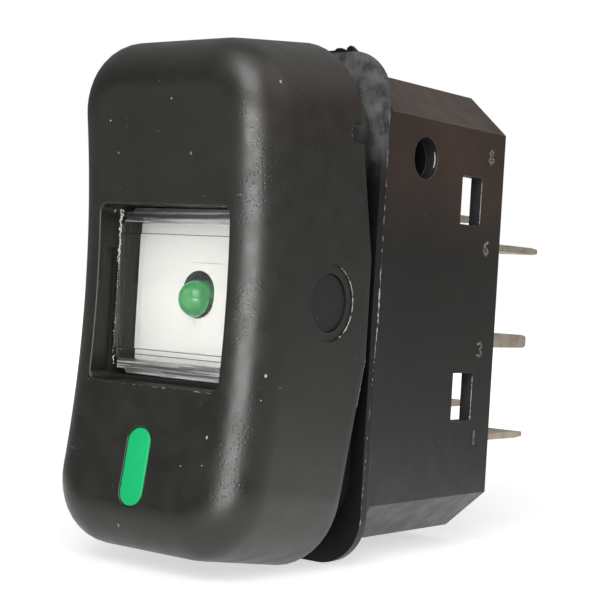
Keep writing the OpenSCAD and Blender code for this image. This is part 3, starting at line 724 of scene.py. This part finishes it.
def shell_rings():
    """Rings of the rocker's shell: front with its round edge, sides, rear lip, inside."""
    rings = []

    def ring(half_x, half_z, r, depth, lift=0.0):
        rings.append((half_x, half_z, r, depth, lift))

    edge_y = face_y(HALF_H)
    steps = 14
    for i in range(steps + 1):
        inset, deep = quarter(FILLET, 90 * i / steps)
        tall = half_h(edge_y + deep) - inset
        ring(HALF_W - inset, tall, CORNER_R - inset, lambda z, d=deep: max(face_y(z) + d, FRONT_LIMIT), LIFT)
    tall = half_h(edge_y + FILLET)
    count = 16
    for i in range(1, count + 1):
        t = i / count
        ring(
            HALF_W,
            tall + (HALF_H - tall) * t,
            CORNER_R,
            lambda z, t=t: (face_y(z) + FILLET) * (1 - t) + (back_y(z) - REAR_LIP) * t,
            LIFT * (1 - t),
        )
    outer = [(0, 1, a) for a in (30, 60, 90)]
    inner = [(WALL, -1, a) for a in (90, 60, 30, 0)]
    for start, sign, a in outer + inner:
        d, t = quarter(REAR_LIP, a)
        t = start + sign * t
        ring(HALF_W - t, HALF_H - t, CORNER_R - t, lambda z, d=d: back_y(z) - d)
    inner_tall = half_h(edge_y + FRONT_WALL) - WALL
    count = 8
    for i in range(1, count + 1):
        t = i / count
        ring(
            HALF_W - WALL,
            (HALF_H - WALL) * (1 - t) + inner_tall * t,
            CORNER_R - WALL,
            lambda z, t=t: (back_y(z) - REAR_LIP) * (1 - t) + (face_y(z) + FRONT_WALL) * t,
            LIFT * t,
        )
    return rings


def rocker():
    """Hollow rocker with a sleeve for the lens, a slot for the bar, pivot recesses and notches."""
    shell = loft("rocker_shell", shell_rings())
    w, h, r = WINDOW
    size = (w + SLEEVE_WALL, h + SLEEVE_WALL, 0.5)
    ends = [(*size, lambda z: -16.9), (*size, lambda z: SLEEVE_END)]
    combine(shell, loft("sleeve", ends, across=4, arc=2, side=4), "UNION")
    mouth = lip_rings(w, h - SILL_RISE / 2, r, lip=0.18, rear=-11)
    cut = [loft("window_cutter", mouth, across=20, arc=6, side=40, centre=(0, SILL_RISE / 2))]
    x, z, bw, bh = BAR
    mouth = lip_rings(bw + 0.05, bh + 0.05, bw + 0.03, lip=0.12, rear=-13)
    cut.append(loft("slot_cutter", mouth, across=2, arc=10, side=12, centre=(x, z)))
    beyond = 12.5
    for side in (-1, 1):
        bore = turned("bore", [(BORE_R, 9.4), (BORE_R, 11.0), (BORE_R, beyond)])
        sink = turned("sink", [(RECESS_R, RECESS_X), (RECESS_R, beyond)], 64)
        for piece in (bore, sink):
            turn_to_x(piece, -side)
            shift(piece, 0, *PIVOT)
        combine(sink, bore, "UNION")
        cut.append(sink)
    y = back_y(NOTCH_Z) - NOTCH_DEPTH + NOTCH_R
    arc = [math.radians(a) for a in range(0, 181, 10)]
    outline = [(1, NOTCH_Z - NOTCH_R)]
    outline += [(y - NOTCH_R * math.sin(a), NOTCH_Z - NOTCH_R * math.cos(a)) for a in arc]
    outline += [(1, NOTCH_Z + NOTCH_R)]
    cut.append(prism_x("notch_cutter", outline, -13, 13))
    combine(shell, join(*cut), "DIFFERENCE")
    groove = box("groove_cutter", (-w - 0.28, -17.3, -7.2), (-w + 0.5, -15.95, 4.3))
    combine(shell, groove, "DIFFERENCE")
    deep = LENS_BACK + 0.8
    wide = w + 0.4
    ledges = []
    for z in (LEDGE_Z, FOOT_RISE - LEDGE_Z):
        ledges.append(box("ledge", (-wide, LENS_BACK, z - 0.45), (wide, deep, z + 0.45)))
    combine(shell, join(*ledges), "UNION")
    sill = box("sill", (-wide, LENS_FRONT + 0.1, -h - 0.3), (wide, deep - 0.1, FOOT_RISE - h))
    combine(shell, sill, "UNION")
    smooth(shell, 32)
    for face in shell.data.polygons:
        x, y, z = face.center
        in_window = abs(x) < w + 0.3 and abs(z) < h + 0.1
        if in_window and abs(face.normal.y) < 0.5 and y > face_y(z) + 0.25:
            face.material_index = 1
    place(shell, "rocker", [rocker_look, sleeve_look], "rocker_cap")


def lens():
    """Clear plate with stepped edges, feet and cut corners; its ends are dark."""
    w = WINDOW[0] - LENS_GAP
    h = WINDOW[1] - LENS_GAP
    front = LENS_FRONT
    low, high = LENS_STEPS
    half = [(front, low), (front + 0.3, low), (front + 0.3, high), (front + 0.6, high), (front + 0.6, h)]
    half += [(LENS_BACK, h), (LENS_BACK, h - 0.9), (front + 1.2, h - 0.9)]
    outline = half + [(y, FOOT_RISE - z) for y, z in reversed(half)]
    obj = prism_x("lens", outline, -w, w)
    corner = [(w - 1.3, h + 0.2), (w - 1.3, h), (w - 0.95, h - 0.4), (w + 0.2, h - 0.4), (w + 0.2, h + 0.2)]
    cuts = []
    for sx in (-1, 1):
        for sz, rise in ((-1, FOOT_RISE), (1, 0)):
            outline = [(sx * x, sz * z + rise) for x, z in corner]
            cuts.append(prism_y("notch", outline, LENS_FRONT - 1, LENS_BACK + 1))
    combine(obj, join(*cuts), "DIFFERENCE")
    soft_edges(obj, 0.06, False)
    for face in obj.data.polygons:
        x, y, z = face.center
        if abs(face.normal.x) > 0.8 or abs(x) > w - 0.07:
            face.material_index = 2
        else:
            face.material_index = 1 if z > FLANGE_Z or z < FOOT_RISE - FLANGE_Z else 0
    place(obj, "rocker", [lens_look, flange_look, base_look], "symbol_lens")


# The lowest group of crumbs is a painted reflection along the edge.
# Crumbs along the lens: how many, from and to which height, size, spread, greatest length
CRUMBS = (
    (58, 8.0, 2.8, 0.085, 0.16, 2.0),
    (18, 2.8, -1.0, 0.055, 0.12, 1.6),
    (22, -1.0, -6.6, 0.045, 0.05, 2.2),
)


def lens_flash_and_painted_light():
    """Ragged flash along the lens's left edge, made of small pale crumbs; lower down they run close and long
    into a thin line that paints the edge's reflection.
    """
    rng = random.Random(11)
    spots = []
    for count, high, low, thick, spread, tall in CRUMBS:
        for k in range(count):
            z = high - (high - low) * (k + rng.random()) / count
            x = -7.62 + rng.uniform(-0.04, spread)
            y = LENS_FRONT + rng.uniform(-0.02, 0.2)
            spots.append(((x, y, z), thick * rng.uniform(0.5, 1.2), rng.uniform(0.7, tall)))
    rng = random.Random(3)
    bm = bmesh.new()
    for at, size, tall in spots:
        made = bmesh.ops.create_icosphere(bm, subdivisions=1, radius=size)["verts"]
        for v in made:
            v.co = Vector((v.co.x, v.co.y, v.co.z * tall)) * rng.uniform(0.75, 1.25) + Vector(at)
    place(from_bmesh("lens_flash_and_painted_light", bm), "rocker", [bead_and_painted_light_look])


def bar():
    """Green bar, flush with the dished front, with a stem and a flange behind it."""
    x, z, w, h = BAR
    back = (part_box("indicator_bar")[1] * 1000).y
    grid = dict(across=2, arc=12, side=16, centre=(x, z))
    size = (w, h, w - 0.02)
    wide = (w + 0.7, h + 0.7, w + 0.68)
    rings = []
    for a in (0, 30, 60, 90):
        inset, deep = quarter(0.16, a)
        rings.append((w - inset, h - inset, w - inset - 0.02, lambda q, d=deep - 0.03: face_y(q) + d))
    rings.append((*size, lambda q: face_y(q) + 1.9))
    obj = loft("indicator_bar_piece", rings, **grid)
    flange = loft("flange", [(*wide, lambda q: back - 0.8), (*wide, lambda q: back)], **grid)
    stem = loft("stem", [(*size, lambda q: face_y(q) + 1), (*size, lambda q: back - 0.4)], **grid)
    combine(obj, stem, "UNION")
    combine(obj, flange, "UNION")
    smooth(obj, 40)
    place(obj, "rocker", [bar_look], "indicator_bar")


# Lamps, housing and the other pieces


def lamp(node, flange=LAMP_FLANGE_R, relief=False):
    """Lamp with a true dome; a relieved one leaves room for the plate when the rocker tilts."""
    low, high = (v * 1000 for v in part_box(node))
    middle = (low + high) / 2
    r = LAMP_R
    front = low.y
    rear = high.y
    profile = [(0.02, front)]
    for a in range(6, 91, 6):
        profile.append((r * math.sin(math.radians(a)), front + r * (1 - math.cos(math.radians(a)))))
    profile += [(r, rear - 0.9), (r + 0.015, rear - 0.82), (flange - 0.05, rear - LAMP_FLANGE_T)]
    profile += [(flange, rear - 0.72), (flange, rear - 0.06), (flange - 0.06, rear), (0.02, rear)]
    obj = turned(node + "_piece", profile, 64)
    shift(obj, middle.x, 0, middle.z)
    if relief:
        cutter = box("relief", (-3, PLATE[0] - 0.45, -3), (3, rear - LAMP_FLANGE_T, RELIEF_TOP))
        bore = prism_y("relief_bore", stadium(*RELIEF), PLATE[0] - 1, rear)
        combine(cutter, bore, "DIFFERENCE")
        combine(obj, cutter, "DIFFERENCE")
    smooth(obj, 40)
    place(obj, "housing", [lamp_look], node)


def softened(node, width, mats):
    """CAD node with rounded edges, which can have a look of their own."""
    obj = cad_copy(node)
    soft_edges(obj, width, len(mats) > 1)
    place(obj, bodies[node], mats, node)


def housing():
    """Shell of the housing: outer skin, worn edges that are also paler as a painted highlight, dark rim and
    darker inner walls.
    """
    obj = cad_copy("housing")
    soft_edges(obj, 0.14, True)
    half_x, half_z, cut_x, cut_z = SECTION
    for face in obj.data.polygons:
        x, y, z = face.center
        slant = (abs(x) - half_x + cut_x) * cut_z + (abs(z) - half_z) * cut_x
        inside = max(abs(x) - half_x, abs(z) - half_z, slant / math.hypot(cut_x, cut_z)) < -0.2
        rim_end = 0.02 if face.material_index == 0 else -0.5
        if y < rim_end:
            side = abs(x) > 10.9 and face.normal.y > -0.5
            face.material_index = 4 if side or face.normal.z < -0.3 else 2
        elif inside and 0.3 < y < 22.5:
            face.material_index = 3
    looks = [housing_look, housing_edge, rim_look, inner_look, rim_side_look]
    place(obj, "housing", looks, "housing")


def carrier():
    """White plate and tubes; the slot for the lamp stops short at the bottom."""
    obj = cad_copy("plunger_carrier")
    combine(obj, prism_y("plug", stadium(-2.8, 2.8, 2.0), *PLATE), "UNION")
    combine(obj, prism_y("slot_cutter", stadium(*LAMP_SLOT), PLATE[0] - 1, PLATE[1] + 1), "DIFFERENCE")
    bm = bmesh.new()
    bm.from_mesh(obj.data)
    bmesh.ops.dissolve_limit(bm, angle_limit=math.radians(FLAT_ANGLE), verts=bm.verts, edges=bm.edges)
    bmesh.ops.triangulate(bm, faces=[f for f in bm.faces if abs(f.normal.y) > 0.99])
    bm.to_mesh(obj.data)
    bm.free()
    soft_edges(obj, 0.05, False)
    obj.data.attributes.remove(obj.data.attributes["custom_normal"])
    smooth(obj, 20)
    low, high, half_x = LAMP_SLOT
    # The walls of the lamp slot in the white plate take the painted shade.
    for face in obj.data.polygons:
        x, y, z = face.center
        in_slot = abs(x) < half_x + 0.1 and low - 0.1 < z < high + 0.1
        if in_slot and abs(face.normal.y) < 0.5 and PLATE[0] < y < PLATE[1]:
            face.material_index = 1
    place(obj, "rocker", [white_look, painted_shade_look], "plunger_carrier")


def blade(node):
    """Terminal with its rear end tapered further from both flat sides."""
    obj = cad_copy(node)
    bm = bmesh.new()
    bm.from_mesh(obj.data)
    end = max(v.co.y for v in bm.verts)
    tip = [v.co.z for v in bm.verts if v.co.y > end - 0.2]
    middle = (min(tip) + max(tip)) / 2
    half = max(abs(v.co.z - middle) for v in bm.verts if v.co.y > end - 2)
    half_tip = 0.14
    length = 1.9 if half > 0.5 else 2.6
    every = bm.verts[:] + bm.edges[:] + bm.faces[:]
    bmesh.ops.bisect_plane(bm, geom=every, dist=1e-4, plane_co=(0, end - length, 0), plane_no=(0, 1, 0))
    for v in bm.verts:
        along = (v.co.y - end + length) / length
        off = v.co.z - middle
        limit = half - (half - half_tip) * along
        if along > 0 and limit < abs(off) < half + 0.02:
            v.co.z = middle + math.copysign(limit, off)
    bm.to_mesh(obj.data)
    bm.free()
    soft_edges(obj, 0.1, False)
    place(obj, bodies[node], [tin_look], node)


def spring(side):
    """Plunger spring, copied from its CAD node; the real spring shortens towards its seat as the plunger
    slides in.
    """
    node = f"plunger_spring_{side}"
    mesh = nodes[node].data
    points = [v.co * 1000 for v in mesh.vertices]
    obj = add(node + "_piece", points, [list(f.vertices) for f in mesh.polygons])
    smooth(obj, 60)
    place(obj, "rocker", [spring_look], node)
    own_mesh(obj)


def dress(node, mat):
    """Gives a CAD node that keeps its shape a better material."""
    mesh = nodes[node].data
    if not mesh.materials:
        mesh.materials.append(mat)
    for i in range(len(mesh.materials)):
        mesh.materials[i] = mat


# Raised terminal numbers: text, y and z of the middle; strokes in a box one unit tall
NUMBERS = (("8", 20.5, 16.3), ("6", 20.4, 6.8), ("3", 20.3, -3.8), ("1", 20.2, -13.0))
NUMBER_SIZE = 1.4
STROKE_HALF = 0.14
STROKE_END = 0.09
STROKE_TAPER = 0.82
STROKE_RISE = 0.09
STROKE_ROOT = 0.05
STROKES = {
    "1": [(0, 0.5), (0, -0.5)],
    "3": [(-0.28, 0.42), (0.1, 0.5), (0.28, 0.28), (0.02, 0.04), (0.3, -0.25), (0.1, -0.5), (-0.3, -0.42)],
    "6": [(0.25, 0.48), (-0.15, 0.25), (-0.3, -0.2), (0, -0.5), (0.3, -0.25), (0.02, 0), (-0.26, -0.12)],
    "8": [
        (0, 0.04), (-0.25, 0.27), (0, 0.5), (0.25, 0.27),
        (0, 0.04), (-0.3, -0.23), (0, -0.5), (0.3, -0.23), (0, 0.04),
    ],
}


def stroke(bm, side, y, z, start, end):
    """Raised bar with sloping sides on one side of the housing."""
    a = Vector(start) * NUMBER_SIZE
    b = Vector(end) * NUMBER_SIZE
    along = (b - a).normalized()
    wide = Vector((-along.y, along.x)) * STROKE_HALF
    more = along * STROKE_END
    middle = (a + b) / 2
    corners = [a - more + wide, b + more + wide, b + more - wide, a - more - wide]
    raised = [middle + (c - middle) * STROKE_TAPER for c in corners]
    low_x = side * (SECTION[0] - STROKE_ROOT)
    high_x = side * (SECTION[0] + STROKE_RISE)
    base = [bm.verts.new((low_x, y + side * c.x, z + c.y)) for c in corners]
    peak = [bm.verts.new((high_x, y + side * c.x, z + c.y)) for c in raised]
    bm.faces.new(peak)
    bm.faces.new(base[::-1])
    for i in range(4):
        bm.faces.new((base[i], base[(i + 1) % 4], peak[(i + 1) % 4], peak[i]))


def numbers():
    """Raised numbers on both sides of the housing."""
    bm = bmesh.new()
    for side in (-1, 1):
        for text, y, z in NUMBERS:
            for start, end in zip(STROKES[text], STROKES[text][1:]):
                stroke(bm, side, y, z, start, end)
    place(from_bmesh("raised_numbers", bm), "housing", [number_look])


# Flash along the parting lines, pale beads that also paint highlights and a glint, and painted dark lines
# and a ridge in the window


def bead(bm, points, radii):
    """Thin uneven tube through points; it shrinks to a hair where a radius is zero."""
    hair = 0.004
    rings = []
    for i, (at, r) in enumerate(zip(points, radii)):
        along = (points[min(i + 1, len(points) - 1)] - points[max(i - 1, 0)]).normalized()
        across = along.orthogonal().normalized()
        out = along.cross(across)
        corners = [math.radians(60 * k) for k in range(6)]
        spokes = [across * math.cos(a) + out * math.sin(a) for a in corners]
        rings.append([bm.verts.new(at + spoke * max(r, hair)) for spoke in spokes])
    for first, second in zip(rings, rings[1:]):
        for k in range(6):
            bm.faces.new((first[k], first[(k + 1) % 6], second[(k + 1) % 6], second[k]))
    bm.faces.new(rings[0])
    bm.faces.new(rings[-1][::-1])


def beads(name, body, lines, mat):
    """One piece from several beads."""
    bm = bmesh.new()
    for points, radii in lines:
        bead(bm, points, radii)
    obj = from_bmesh(name, bm)
    smooth(obj, 60)
    place(obj, body, [mat])


def rim_flash_and_highlight():
    """Flash along the rear edge of the rim, thickest beside the pivot, whose pale beads also paint the
    edge's highlight, and a pale bead in the round hole that is a painted glint.
    """
    rng = random.Random(5)
    top = 19.2
    length = 39.5
    count = 150
    hole = (8.06, 15)
    hole_r = 1.98
    turn = [math.radians(-24 + 6 * k) for k in range(9)]
    lines = []
    for side in (-1, 1):
        points = []
        radii = []
        for k in range(count + 1):
            z = top - length * k / count
            middle = math.exp(-((z - 0.3) / 4) ** 2)
            y = -0.9 * min(max((-1 - z) / 18, 0), 1) + rng.uniform(-0.07, 0.03)
            points.append(Vector((side * (11.2 - rng.uniform(0, 0.03)), y, z)))
            gap = rng.random() > 0.86 + 0.14 * middle
            radii.append(0 if gap else rng.uniform(0.02, 0.05) + middle * rng.uniform(0, 0.08))
        lines.append((points, radii))
        # Pale bead on the inner edge of the round hole: a painted glint.
        arc = [(hole[0] + hole_r * math.cos(a), hole[1] + hole_r * math.sin(a)) for a in turn]
        glint = [Vector((side * 10.0, y, z)) for y, z in arc]
        lines.append((glint, [0.04, 0.07, 0.08, 0.09, 0.09, 0.1, 0.09, 0.07, 0.03]))
    beads("rim_flash_and_highlight", "housing", lines, flash_and_highlight_look)


def window_flash_and_highlight():
    """Broken flash along the rear edges of the side windows, thickest at the bottom; its pale beads also
    paint the highlight on these edges.
    """
    rng = random.Random(17)
    edges = ((18.9, 9.08, 13.7), (19.3, -11.12, -6.6))
    count = 26
    lines = []
    for side in (-1, 1):
        for y, low, high in edges:
            points = []
            radii = []
            for k in range(count + 1):
                z = low + (high - low) * k / count
                points.append(Vector((side * 10.24, y + rng.uniform(-0.03, 0.02), z)))
                thick = rng.uniform(0.02, 0.05) + 0.06 * max(1 - k / 5, 0)
                radii.append(0 if rng.random() > 0.8 else thick)
            lines.append((points, radii))
    beads("window_flash_and_highlight", "housing", lines, flash_and_highlight_look)


def rocker_flash_and_highlight():
    """Flash at the front of each notch, behind each pivot recess, at the back edge and below the window; its
    pale beads also paint the highlights on these edges.
    """
    rng = random.Random(9)
    notch = (back_y(NOTCH_Z) - 1.1, NOTCH_Z)
    # middle, radius, first and last angle, thickness
    arcs = ((notch, 0.85, 120, 235, 0.075), (PIVOT, RECESS_R, -62, 68, 0.07))
    heights = [-4.8 - 4.4 * k / 24 for k in range(25)]
    lines = []
    for side in (-1, 1):
        for centre, r, first, last, thick in arcs:
            points = []
            radii = []
            count = int(r * abs(last - first) / 12)
            for k in range(count + 1):
                a = math.radians(first + (last - first) * k / count)
                y = centre[0] + r * math.cos(a)
                z = centre[1] + r * math.sin(a)
                points.append(Vector((side * 11.51, y, z)))
                radii.append(thick * rng.choice((0, 0.5, 0.7, 0.85, 1, 1)))
            lines.append((points, radii))
        points = [Vector((side * 11.5, back_y(z) - 0.06, z)) for z in heights]
        lines.append((points, [rng.uniform(0, 0.05) for z in heights]))
    low = SILL_RISE - WINDOW[1] - 0.16
    places = [-7.8 + 15 * k / 70 for k in range(71)]
    points = [Vector((x, face_y(low) + 0.03, low)) for x in places]
    lines.append((points, [rng.choice((0, 0, 0.02, 0.03, 0.04)) for x in places]))
    beads("rocker_flash_and_highlight", "rocker", lines, flash_and_highlight_look)


def window_lines():
    """Fine dark beads at the steps of the lens that paint its dark refraction lines, and a faint ridge on
    the white plate above the lamp whose grey bead also paints its shade line.
    """
    w = WINDOW[0] - 0.5
    step = LENS_STEPS[0]
    places = [-w + 2 * w * k / 30 for k in range(31)]
    lines = []
    for z in (step, FOOT_RISE - step, FOOT_RISE - 6.2):
        lines.append(([Vector((x, LENS_FRONT + 0.02, z)) for x in places], [0.035 for x in places]))
    beads("lens_painted_lines", "rocker", lines, base_look)
    # Faint ridge on the plate; its grey bead also paints the ridge's shade line.
    ridge = [-1.2 + 4.4 * k / 20 for k in range(21)]
    radii = [0.045 * math.sin(math.pi * (k + 1) / 22) for k in range(21)]
    points = [Vector((x, PLATE[0], 3.3)) for x in ridge]
    beads("plate_ridge_and_painted_shade", "rocker", [(points, radii)], bead_and_painted_light_look)


# Floor, world, lights and camera, in metres
FLOOR_Z = -0.02446
FLOOR_HALF = 3.0
WORLD_LEVEL = 0.3
CAMERA_AT = (0.094337, -0.121057, 0.00171)
CAMERA_LENS = 93.81
CAMERA_AZIMUTH = 37.371
CAMERA_ELEVATION = 0.503
CAMERA_ROLL = 3.402


def floor():
    """Pale paper: white to the camera and through the lens, dimmer in reflections."""
    mesh = bpy.data.meshes.new("floor")
    s = FLOOR_HALF
    z = FLOOR_Z
    mesh.from_pydata([(-s, -s, z), (s, -s, z), (s, s, z), (-s, s, z)], [], [(0, 1, 2, 3)])
    obj = bpy.data.objects.new("floor", mesh)
    scene.collection.objects.link(obj)
    m = Look("floor_paper", Roughness=0.9, Specular_IOR_Level=0.1)
    m.set(Base_Color=m.blend(m.noise(6, 3), (0.61, 0.61, 0.605), (0.64, 0.64, 0.635)))
    path = m.node("ShaderNodeLightPath").outputs
    length = m.node("ShaderNodeVectorMath", operation="LENGTH")
    m.put(length.inputs[0], m.coord)
    reach = length.outputs["Value"]
    glow = m.calc("MULTIPLY", path["Is Camera Ray"], m.span(reach, 0.05, 0.3, 0.6, 1.0))
    glow = m.calc("MAXIMUM", glow, path["Is Transmission Ray"])
    far = m.calc("MULTIPLY", m.span(m.axis("Y"), -0.06, 0.02, 0.1, 0.8), m.span(reach, 0.045, 0.1, 1, 0.15))
    gloss = m.calc("MULTIPLY", path["Is Glossy Ray"], far)
    m.set(Emission_Color=(1, 1, 1), Emission_Strength=m.calc("MAXIMUM", glow, gloss))
    mesh.materials.append(m.mat)


def world():
    """White to the camera and through the lens, a dim room in reflections, a low even light otherwise."""
    made = bpy.data.worlds.new("studio")
    scene.world = made
    made.use_nodes = True
    n = Nodes(made.node_tree, "Generated")
    ground = n.tree.nodes["Background"]
    ground.inputs["Color"].default_value = (1, 1, 1, 1)
    path = n.node("ShaderNodeLightPath").outputs
    clear = n.calc("MAXIMUM", path["Is Camera Ray"], path["Is Transmission Ray"])
    rear = n.span(n.axis("Y"), -0.5, 0.7, 0.115, 0.19)
    room = n.calc("ADD", rear, n.span(n.axis("Z"), 0.1, 0.8, 0.0, 0.3))
    gloss = n.calc("MULTIPLY", path["Is Glossy Ray"], room)
    rest = n.calc("SUBTRACT", 1.0, n.calc("MAXIMUM", clear, path["Is Glossy Ray"]))
    total = n.calc("ADD", n.calc("ADD", clear, gloss), n.calc("MULTIPLY", rest, WORLD_LEVEL))
    n.put(ground.inputs["Strength"], total)


def direction(azimuth, elevation):
    """Unit vector at an azimuth from the front and an elevation, in degrees."""
    a = math.radians(azimuth)
    e = math.radians(elevation)
    return Vector((math.sin(a) * math.cos(e), -math.cos(a) * math.cos(e), math.sin(e)))


def light_panel(name, azimuth, elevation, distance, width, height, radiance):
    """Soft light that faces the part."""
    data = bpy.data.lights.new(name, "AREA")
    data.shape = "RECTANGLE"
    data.size = width
    data.size_y = height
    data.energy = radiance * math.pi * width * height
    away = direction(azimuth, elevation)
    obj = bpy.data.objects.new(name, data)
    obj.location = away * distance
    obj.rotation_mode = "QUATERNION"
    obj.rotation_quaternion = away.to_track_quat("Z", "Y")
    scene.collection.objects.link(obj)


def camera():
    """Camera at the photograph's view."""
    data = bpy.data.cameras.new("camera")
    data.sensor_width = 36
    data.lens = CAMERA_LENS
    data.clip_start = 0.005
    a = math.radians(CAMERA_AZIMUTH)
    r = math.radians(CAMERA_ROLL)
    back = direction(CAMERA_AZIMUTH, CAMERA_ELEVATION)
    right = Vector((math.cos(a), math.sin(a), 0))
    up = back.cross(right)
    tilted_right = right * math.cos(r) + up * math.sin(r)
    tilted_up = up * math.cos(r) - right * math.sin(r)
    obj = bpy.data.objects.new("camera", data)
    rows = Matrix((tilted_right, tilted_up, back)).transposed().to_4x4()
    obj.matrix_world = Matrix.Translation(CAMERA_AT) @ rows
    scene.collection.objects.link(obj)
    scene.camera = obj


rocker()
lens()
lens_flash_and_painted_light()
bar()
lamp("symbol_lamp", SYMBOL_FLANGE_R, relief=True)
lamp("indicator_lamp")
housing()
softened("bearing_frame", 0.12, [frame_look, frame_edge])
softened("terminal_base", 0.15, [base_look])
carrier()
softened("lamp_board", 0.06, [board_look])
for side in ("left", "right"):
    for row in ("upper", "common", "lower"):
        blade(f"{row}_terminal_{side}")
    softened(f"contact_bridge_{side}", 0.08, [copper_look])
for row in ("upper", "lower"):
    blade(f"lamp_terminal_{row}")
for side in ("left", "right"):
    spring(side)
    dress(f"plunger_{side}", natural_look)
    dress(f"fixed_contacts_{side}", silver_look)
    dress(f"moving_contacts_{side}", silver_look)
dress("lamp_leads", wire_look)
dress("lamp_resistors", resistor_look)
numbers()
rim_flash_and_highlight()
window_flash_and_highlight()
rocker_flash_and_highlight()
window_lines()
floor()
world()
light_panel("key_light", 27, 33, distance=0.6, width=0.34, height=0.42, radiance=5.1)
light_panel("low_strip", 27, -3.8, distance=0.17, width=0.1, height=0.022, radiance=16)
light_panel("top_fill", 20, 60, distance=0.7, width=0.5, height=0.5, radiance=1.0)
light_panel("side_fill", 105, 40, distance=0.8, width=0.8, height=0.8, radiance=0.55)
camera()
scene.view_settings.view_transform = "Standard"
